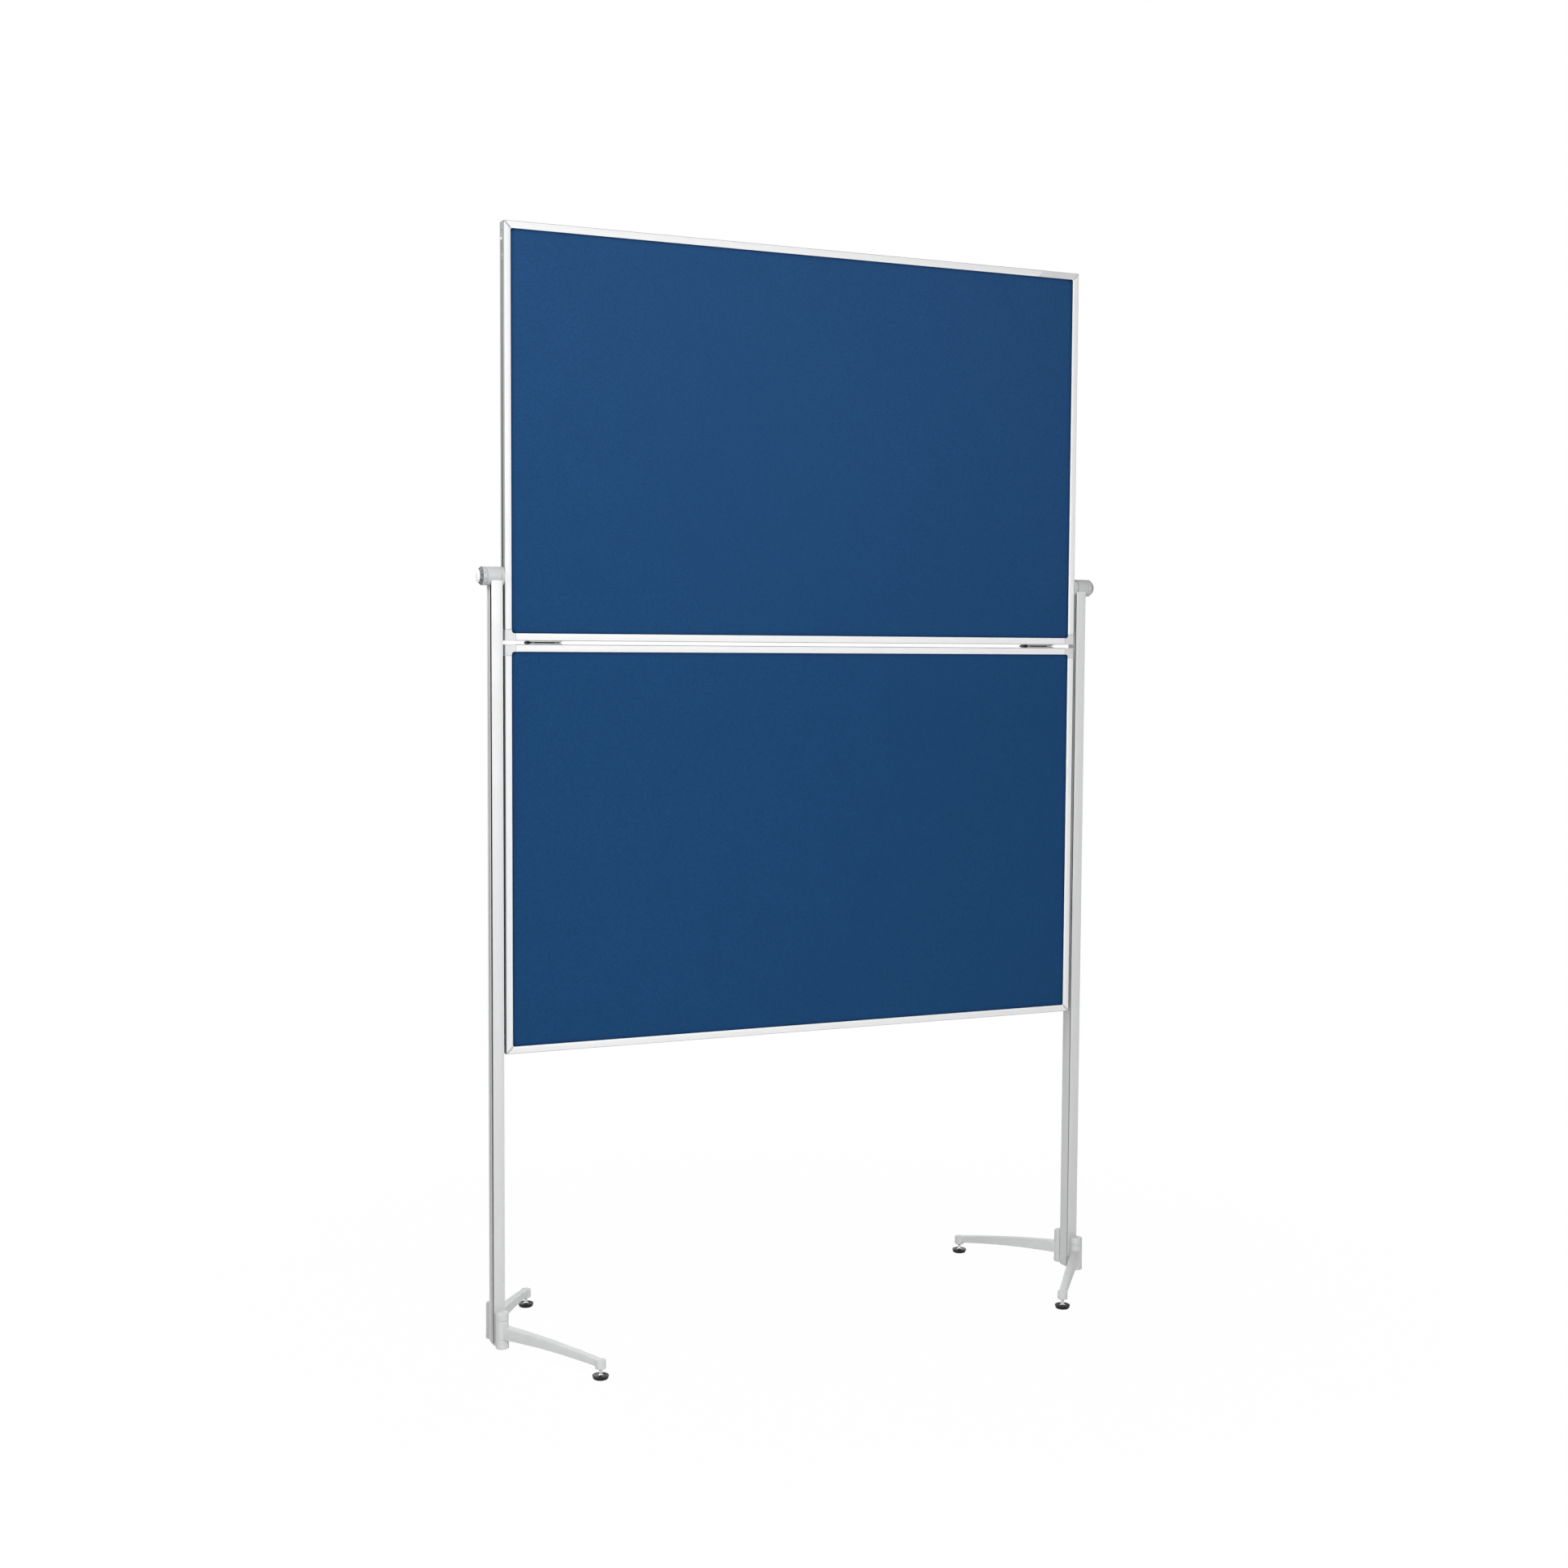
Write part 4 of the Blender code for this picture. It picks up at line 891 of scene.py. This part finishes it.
def makePost(hand, side, kit):
    p, hair = postBar, fine["hair"]
    node = f"{hand}_post"
    low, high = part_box(node)
    centre = middle(node)
    x, front = (high.x - low.x) / 2, low.y
    groove, e = front + p["grooveSetback"], p["edgeRound"]

    def flank(width, depth):
        # from the front face round to the groove's far edge
        return [
            (x, front, p["round"]), (x, groove, e), (x - depth, groove, e),
            (x - depth, groove + width, e), (x, groove + width, e),
        ]

    line, place = p["lineWidth"] / 2, p["linePlace"]
    outer = flank(p["grooveWidth"], p["grooveDepth"])
    outer += [(x, place - line, hair), (x - p["lineDepth"], place, hair), (x, place + line, hair)]
    outer.append((x, -front, p["round"]))
    mark, half = x - p["faceLine"], p["faceLineWidth"] / 2
    inner = [(mark - half, front, hair), (mark, front + p["faceLineDepth"], hair), (mark + half, front, hair)]
    inner += flank(p["innerGrooveWidth"], p["innerGrooveDepth"]) + [(x, -front, p["round"])]
    outline = rounded(outer + [(-a, b, r) for a, b, r in reversed(inner)], 7)
    # painted shade inside both grooves and in the line on the outer side
    bottom = groove + p["grooveWidth"]
    marks = []
    for here, (a, b) in enumerate(outline):
        nextA, nextB = outline[(here + 1) % len(outline)]
        deep = max(abs(a), abs(nextA)) < x - 2 * hair and min(b, nextB) > front + 10 * hair
        inLine = min(a, nextA) > 0 and max(abs(b - place), abs(nextB - place)) < line + 2 * hair
        marks.append(1 if inLine or (deep and max(b, nextB) < bottom + 5 * hair) else 0)
    loops = [[(centre.x + side * a, b, z) for a, b in outline] for z in (low.z, high.z)]
    body = loft(node + "_extrusion", loops, marks)
    coat(body, [kit["post"], kit["groove"]])
    wall, overrun = p["wall"], fine["overrun"]
    narrow, wide = x - p["grooveDepth"] - wall, x - wall
    hollow = [(narrow, front + wall), (narrow, bottom + wall), (wide, bottom + wall), (wide, -front - wall)]
    hollow += [(-a, b) for a, b in reversed(hollow)]
    cutter = loft("hollow", [
        [(centre.x + a, b, z) for a, b in hollow] for z in (low.z - overrun, high.z + overrun)
    ])
    combine(body, cutter, "DIFFERENCE")
    # saddle for the clamp's drum
    clampZ, clampRadius = clampAxis(hand)
    drill(body, -x - overrun, x + overrun, clampRadius + fine["edge"], "X", 96, (centre.x, 0, clampZ))
    settle(body, [kit["post"], kit["groove"]], node)
    coat(frame["nodes"][f"{hand}_post_end_cap"], [kit["moulding"]])


def clampAxis(hand):
    low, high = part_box(f"{hand}_clamp_knob")
    return (low.z + high.z) / 2, (high.z - low.z) / 2


clamp = {
    "flange": 0.006, "line": {"left": 0.0004, "right": 0.0016}, "lineDepth": 0.0024, "edge": 0.0006,
    "boreRadius": 0.0027, "spigotBack": 0.0072, "spigotRound": 0.001,
    "ringLength": 0.0077, "ringRound": 0.0005,
    "gripStep": 0.0004, "gripBend": 0.65, "gripSteps": 14, "noseRadius": 0.0128,
    "flutes": 10, "fluteDepth": 0.0017, "fluteSharpness": 0.7, "ribShare": 0.05,
    # each dot's (depth, share of its radius)
    "dots": 10, "dotRadius": 0.0011, "dotPlace": 0.0046,
    "dotLevels": ((0.0012, 0.55), (0.00072, 0.85), (-0.0004, 1)),
    "domeSteps": 14, "domeRise": 0.0001,
}


def makeHousing(hand, side, kit, start, end):
    # flange against the board, shadow line, drum across the post's top
    c, edge = clamp, fine["edge"]
    node = f"{hand}_clamp_housing"
    z, radius = clampAxis(hand)
    centre = (0, 0, z)
    flange = start + c["flange"]
    lineFloor, lineEnd = radius - c["lineDepth"], flange + c["line"][hand]
    profile = roundStart(radius, start, c["edge"], 5)
    profile += [(flange - edge, radius), (flange, radius - edge), (flange, lineFloor)]
    profile += [(lineEnd, lineFloor), (lineEnd, radius - edge), (lineEnd + edge, radius)]
    profile += roundEnd(radius, end, c["edge"], 5)
    drum = turned(node + "_drum", [(side * a, b) for a, b in profile], "X", 128, centre)
    # square spigot down inside the post
    postLow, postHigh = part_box(f"{hand}_post")
    halfX = (postHigh.x - postLow.x) / 2 - postBar["wall"] - edge
    halfY = (postHigh.y - postLow.y) / 2 - postBar["wall"] - edge
    front, r = c["spigotBack"] - halfY, c["spigotRound"]
    spigot = rounded([(-halfX, front, r), (halfX, front, r), (halfX, halfY, r), (-halfX, halfY, r)], 4)
    postX = side * (abs(postLow.x) + abs(postHigh.x)) / 2
    tongue = loft("tongue", [
        [(postX + a, b, height) for a, b in spigot] for height in (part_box(node)[0].z, z - radius * 0.5)
    ])
    combine(drum, tongue, "UNION")
    overrun = fine["overrun"]
    drill(drum, side * (start - overrun), side * (end + overrun), c["boreRadius"], "X", 32, centre)
    settle(drum, [kit["clampCasting"]], node)


def makeKnob(hand, side, kit, start, end):
    # plain ring with dots, then the fluted cone
    c, edge = clamp, fine["edge"]
    z, radius = clampAxis(hand)
    centre = Vector((0, 0, z))
    ringEnd = start + c["ringLength"]
    ring = roundStart(radius, start, c["ringRound"], 4) + roundEnd(radius, ringEnd, edge, 3)[:-1]
    grip = radius - c["gripStep"]
    cone = []
    for step in range(c["gripSteps"] + 1):
        share = step / c["gripSteps"]
        bend = (1 - c["gripBend"]) * share + c["gripBend"] * share ** 2
        cone.append((ringEnd + (end - ringEnd) * share, grip - bend * (grip - c["noseRadius"])))

    def fluted(index, reach, angle):
        if index < len(ring):
            return reach
        share = min(1.0, (index - len(ring)) / 3)
        wave = (1 + math.cos(c["flutes"] * angle)) / 2
        return reach - c["fluteDepth"] * share * wave ** c["fluteSharpness"]

    node = f"{hand}_clamp_knob"
    knob = turned(node + "_grip", [(side * a, b) for a, b in ring + cone], "X", 200, centre, fluted)
    # painted highlight along the grip's ribs; the ring keeps its own paler colour
    for face in knob.data.polygons:
        turn = math.atan2(face.center.z - z, face.center.y)
        onRib = (1 + math.cos(c["flutes"] * turn)) / 2 < c["ribShare"]
        onGrip = abs(face.center.x) > ringEnd - 2 * fine["hair"]
        face.material_index = (2 if onRib else 0) if onGrip else 1
    coats = [kit["knob"], kit["knobRing"], kit["knobRibHighlightDotShade"]]
    coat(knob, coats)
    dots = []
    circle = [2 * math.pi * step / 16 for step in range(16)]
    for index in range(c["dots"]):
        angle = 2 * math.pi * (index + 0.5) / c["dots"]
        out = Vector((0, math.cos(angle), math.sin(angle)))
        tangent = Vector((0, -math.sin(angle), math.cos(angle)))
        spot = centre + Vector((side * (start + c["dotPlace"]), 0, 0))
        loops = []
        for depth, share in c["dotLevels"]:
            size = c["dotRadius"] * share
            across, along = Vector((size, 0, 0)), tangent * size
            place = spot + out * (radius - depth)
            loops.append([place + across * math.cos(turn) + along * math.sin(turn) for turn in circle])
        dots.append(loft("dot", loops))
    cutter = gather("dots", dots)
    # painted shade in the dots
    markAll(cutter, 2)
    coat(cutter, coats)
    combine(knob, cutter, "DIFFERENCE")
    drill(knob, side * (start - fine["overrun"]), side * (ringEnd + edge), c["boreRadius"], "X", 24, centre)
    settle(knob, coats, node)


def makeClamp(hand, side, kit):
    def span(node):
        low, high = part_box(node)
        return sorted((abs(low.x), abs(high.x)))

    makeHousing(hand, side, kit, *span(f"{hand}_clamp_housing"))
    makeKnob(hand, side, kit, *span(f"{hand}_clamp_knob"))

    # domed cap on the knob
    c, edge = clamp, fine["edge"]
    node = f"{hand}_knob_cap"
    start, end = span(node)
    reach = (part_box(node)[1].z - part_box(node)[0].z) / 2
    dome = [(start, reach - edge), (start + edge, reach)]
    for step in range(1, c["domeSteps"]):
        turn = math.pi / 2 * step / c["domeSteps"]
        height = end - start + c["domeRise"] - edge
        dome.append((start + edge + height * math.sin(turn), reach * math.cos(turn)))
    cap = turned(node + "_dome", [(side * a, b) for a, b in dome], "X", 72, (0, 0, clampAxis(hand)[0]))
    settle(cap, [kit["cap"]], node)
    coat(frame["nodes"][f"{hand}_clamp_bolt"], [kit["steel"]])


foot = {
    "hubRound": 0.003, "hubUnder": 0.0018, "lowerLug": 0.0177, "upperLug": 0.0142, "flare": 0.0006,
    "webWidth": 0.014, "webThickness": 0.0036, "webRound": 0.0005, "webClear": 0.0016,
    "pinRadius": 0.004, "pinEase": 0.0006, "seat": 0.0003,
    "rootWidth": 0.0165, "tipWidth": 0.0135, "rootHeight": 0.0235, "tipHeight": 0.0125,
    "edge": 0.0011, "topArch": 0.0031, "underArch": 0.0043, "tipDrop": 0.0002, "armSteps": 20,
    "bossRadius": 0.0096, "bossHeight": 0.016, "bossRound": 0.0016, "bossUnder": 0.0011,
    "studRadius": 0.0032, "studEase": 0.0006, "studSharp": 24,
    "flareRadius": 0.0053, "flareHeight": 0.0035, "flareRim": 0.0009, "flareEase": 0.0004,
    "threadStart": 0.0088, "threadPitch": 0.001, "threadDepth": 0.0002,
    # pad: ribbed skirt by (height, in from the rim), dished top by (depth, in from the rim)
    "padSkirt": (
        (0, 0.0026), (0.0003, 0.0022), (0.0012, 0.0013), (0.0022, 0.0010),
        (0.0024, 0.0013), (0.0028, 0.0013), (0.0030, 0.0008),
    ),
    "padTop": (
        (0.0018, 0.0002), (0.0010, 0), (0.0004, 0.0001), (0, 0.0005), (0, 0.0010), (0.0005, 0.0014),
        (0.0005, 0.0020), (0.0002, 0.0024), (0.0005, 0.0046), (0.0010, 0.0049), (0.0010, 0.0055),
        (0.0006, 0.0058), (0.0011, 0.0080), (0.0012, 0.0086),
    ),
    "padEye": 0.003,
}


def makeHub(hand, end, kit):
    f, edge = foot, fine["edge"]
    node = f"{hand}_{end}_hub_bracket"
    low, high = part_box(node)
    pin = middle(f"{hand}_{end}_hub_pin")
    depth = -1 if end == "front" else 1
    radius = (high.x - low.x) / 2 - f["flare"]
    postFace = low.y if depth > 0 else high.y
    centre = (pin.x, pin.y, 0)
    x0, x1 = pin.x - f["webWidth"] / 2, pin.x + f["webWidth"] / 2

    def block(y0, y1, z0, z1, ease):
        outline = rounded([(x0, y0, ease), (x1, y0, ease), (x1, y1, ease), (x0, y1, ease)], 3)
        return loft("block", [[(a, b, z) for a, b in outline] for z in (z0, z1)])

    rim, under = f["hubRound"], f["hubUnder"]
    webBottom, webTop = low.z + f["webClear"], high.z - rim
    web = block(postFace, postFace + depth * f["webThickness"], webBottom, webTop, f["webRound"])
    lowerTop, upperBottom = low.z + f["lowerLug"], high.z - f["upperLug"]
    lower = roundStart(radius + f["flare"], low.z, under, 6)
    lower += [(lowerTop - edge, radius), (lowerTop, radius - edge)]
    upper = [(upperBottom, radius - edge), (upperBottom + edge, radius)] + roundEnd(radius, high.z, rim, 10)
    for profile, z0, z1 in ((lower, webBottom, lowerTop), (upper, upperBottom, webTop)):
        combine(web, turned("lug", profile, "Z", 72, centre), "UNION")
        combine(web, block(postFace, pin.y, z0, z1, edge), "UNION")
    drill(web, low.z - fine["overrun"], webTop, f["pinRadius"] + f["seat"], "Z", 32, centre)
    web.name = node + "_casting"
    settle(web, [kit["footCasting"]], node)

    node = f"{hand}_{end}_hub_pin"
    low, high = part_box(node)
    profile = rod(low.z, high.z, (high.x - low.x) / 2, f["pinEase"])
    settle(turned(node + "_rod", profile, "Z", 40, centre), [kit["steel"]], node)


def makeArm(hand, end, kit):
    f, overrun = foot, fine["overrun"]
    node = f"{hand}_{end}_arm"
    low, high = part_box(node)
    pin, pad = middle(f"{hand}_{end}_hub_pin"), middle(f"{hand}_{end}_pad")
    reachVector = Vector((pad.x - pin.x, pad.y - pin.y, 0))
    length = reachVector.length
    heading = math.atan2(reachVector.y, reachVector.x)
    hubLow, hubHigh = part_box(f"{hand}_{end}_hub_bracket")
    radius = (hubHigh.x - hubLow.x) / 2 - f["flare"]
    bossBottom, bossTop = low.z, low.z + f["bossHeight"]
    knuckleBottom, knuckleTop = hubLow.z + f["lowerLug"] + f["seat"], high.z
    rootTop = knuckleBottom + f["rootHeight"]
    tipTop = bossTop - f["tipDrop"]
    tipBottom = tipTop - f["tipHeight"]

    def section(share):
        bow = 4 * share * (1 - share)
        y = (f["rootWidth"] + (f["tipWidth"] - f["rootWidth"]) * share) / 2
        top = rootTop + (tipTop - rootTop) * share + f["topArch"] * bow
        bottom = knuckleBottom + (tipBottom - knuckleBottom) * share + f["underArch"] * bow
        e = f["edge"]
        return rounded([(y, bottom, e), (y, top, e), (-y, top, e), (-y, bottom, e)], 6)

    shares = [step / f["armSteps"] for step in range(f["armSteps"] + 1)]
    beam = loft(node + "_casting", [[(length * share, y, z) for y, z in section(share)] for share in shares])
    knuckle = rod(knuckleBottom, knuckleTop, radius, fine["edge"])
    combine(beam, turned("knuckle", knuckle, "Z", 72), "UNION")
    r = f["bossRadius"]
    boss = roundStart(r, bossBottom, f["bossUnder"], 5) + roundEnd(r, bossTop, f["bossRound"], 8)
    combine(beam, turned("boss", boss, "Z", 64, (length, 0, 0)), "UNION")
    pinBore, studBore = f["pinRadius"] + f["seat"], f["studRadius"] + f["seat"]
    drill(beam, knuckleBottom - overrun, knuckleTop + overrun, pinBore, "Z", 36, (0, 0, 0))
    drill(beam, bossBottom - overrun, bossTop - overrun, studBore, "Z", 36, (length, 0, 0))
    beam.data.transform(Matrix.Translation((pin.x, pin.y, 0)) @ Matrix.Rotation(heading, 4, "Z"))
    settle(beam, [kit["footCasting"]], node)


def makeFoot(hand, end, kit):
    f = foot
    centre = middle(f"{hand}_{end}_pad")
    spot = (centre.x, centre.y, 0)
    # stud: flared skirt, plain shank and a fine thread into the boss
    node = f"{hand}_{end}_stud"
    low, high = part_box(node)
    r, flare, ease = f["studRadius"], f["flareRadius"], f["flareEase"]
    rimTop = low.z + f["flareRim"]
    profile = [(low.z, flare - ease), (low.z + ease, flare), (rimTop, flare)]
    for step in range(1, 9):
        share = step / 8
        reach = r + (flare - r) * (1 - math.sin(share * math.pi / 2))
        profile.append((rimTop + (f["flareHeight"] - f["flareRim"]) * share, reach))
    z = low.z + f["threadStart"]
    while z + f["threadPitch"] < high.z - f["studEase"]:
        profile += [(z, r), (z + f["threadPitch"] * 0.5, r - f["threadDepth"])]
        z += f["threadPitch"]
    profile += [(high.z - f["studEase"], r), (high.z, r - f["studEase"])]
    settle(turned(node + "_screw", profile, "Z", 48, spot), [kit["bright"]], node, sharp=f["studSharp"])
    # rubber pad with two fine grooves on top and a thin rim
    node = f"{hand}_{end}_pad"
    low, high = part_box(node)
    radius, top = (high.y - low.y) / 2, high.z
    profile = [(up, radius - inset) for up, inset in f["padSkirt"]]
    profile += [(top - down, radius - inset) for down, inset in f["padTop"]]
    profile.append((profile[-1][0], f["padEye"]))
    settle(turned(node + "_rubber", profile, "Z", 80, spot), [kit["rubber"]], node)


studio = {
    "worldLevel": 0.22,
    "floorRadius": 14.0, "floorDrop": 0.0005, "floorTone": 0.85,
    "floorGlow": 0.98, "fadeStart": 0.5, "fadeRadius": 2.2,     # the shadow fades out from the board
}

lamps = {
    # place, aim, width and height, power
    "key": ((-0.42, -2.6, 1.6), (-0.3, 0, 1.2), (0.4, 1.4), 41.5),
    "side": ((-2.3, -0.3, 2.5), (-0.6, 0, 1.75), (1.0, 1.0), 34),
    "fill": ((2.6, -4.4, 2.2), (0, 0, 1.0), (2.6, 2.6), 12),
    "back": ((2.0, 4.1, 2.9), (0, 0, 1.15), (1.8, 2.6), 62),
}


def seenDirectly(finish):
    # 1 for what the camera, a reflection or glass sees, 0 for light on the object
    path = addNode(finish, "LightPath")
    total = path.outputs["Is Camera Ray"]
    for name in ("Is Glossy Ray", "Is Transmission Ray"):
        total = larger(finish, total, path.outputs[name])
    return total


def mixShaders(finish, factor, first, second):
    mix = addNode(finish, "MixShader")
    for socket, source in zip(mix.inputs, (factor, first, second)):
        link(finish, source, socket)
    return mix.outputs[0]


def makeWorld():
    world = bpy.data.worlds.new("whiteStudio")
    bpy.context.scene.world = world
    world.use_nodes = True
    world.node_tree.nodes.clear()
    lit, white = (
        addNode(world, "Background", Color=(level, level, level, 1)).outputs[0]
        for level in (studio["worldLevel"], 1.0)
    )
    sky = mixShaders(world, seenDirectly(world), lit, white)
    link(world, sky, addNode(world, "OutputWorld").inputs["Surface"])


def makeLamps():
    for lamp, (place, aim, (width, height), power) in lamps.items():
        data = bpy.data.lights.new(lamp + "Light", "AREA")
        data.shape = "RECTANGLE"
        data.size = width
        data.size_y = height
        data.energy = power
        light = bpy.data.objects.new(lamp + "Light", data)
        light.location = place
        light.rotation_euler = (Vector(aim) - light.location).to_track_quat("-Z", "Y").to_euler()
        bpy.context.scene.collection.objects.link(light)


def makeFloor():
    s = studio
    shape = bmesh.new()
    bmesh.ops.create_circle(shape, cap_ends=True, radius=s["floorRadius"], segments=96)
    floor = newPiece("studio_floor", shape)
    floor.location.z = -s["floorDrop"]
    paint = bpy.data.materials.new("studioFloor")
    paint.use_nodes = True
    paint.node_tree.nodes.clear()
    matte = addNode(paint, "BsdfDiffuse", Color=(s["floorTone"],) * 3 + (1,)).outputs[0]
    glow = addNode(paint, "Emission").outputs[0]
    away = addNode(paint, "VectorMath", operation="LENGTH")
    link(paint, addNode(paint, "TexCoord").outputs["Object"], away.inputs[0])
    fade = spread(paint, away.outputs["Value"], s["floorGlow"], 1.0, s["fadeStart"], s["fadeRadius"])
    fade.node.interpolation_type = "SMOOTHSTEP"
    surface = mixShaders(paint, seenDirectly(paint), matte, mixShaders(paint, fade, matte, glow))
    link(paint, surface, addNode(paint, "OutputMaterial").inputs["Surface"])
    floor.data.materials.append(paint)


setCamera()
kit = makeFinishes()
print("camera and finishes ready")

boardHalf = -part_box("upper_left_stile")[0].x
for word in ("upper", "lower"):
    makePanelFrame(word, kit)
    coat(frame["nodes"][f"{word}_board_core"], [kit["board"]])
    for face in (-1, 1):
        makeFelt(word, face, kit)
    print(word, "panel dressed")

for hand, side in sides:
    makeHinge(hand, side, kit)
    makePost(hand, side, kit)
    makeClamp(hand, side, kit)
    print(hand, "post, hinge and clamp dressed")
    for end in ("front", "rear"):
        makeHub(hand, end, kit)
        makeArm(hand, end, kit)
        makeFoot(hand, end, kit)
    print(hand, "feet dressed")

makeWorld()
makeLamps()
makeFloor()
bpy.context.scene.view_settings.view_transform = "Standard"
print("studio ready")
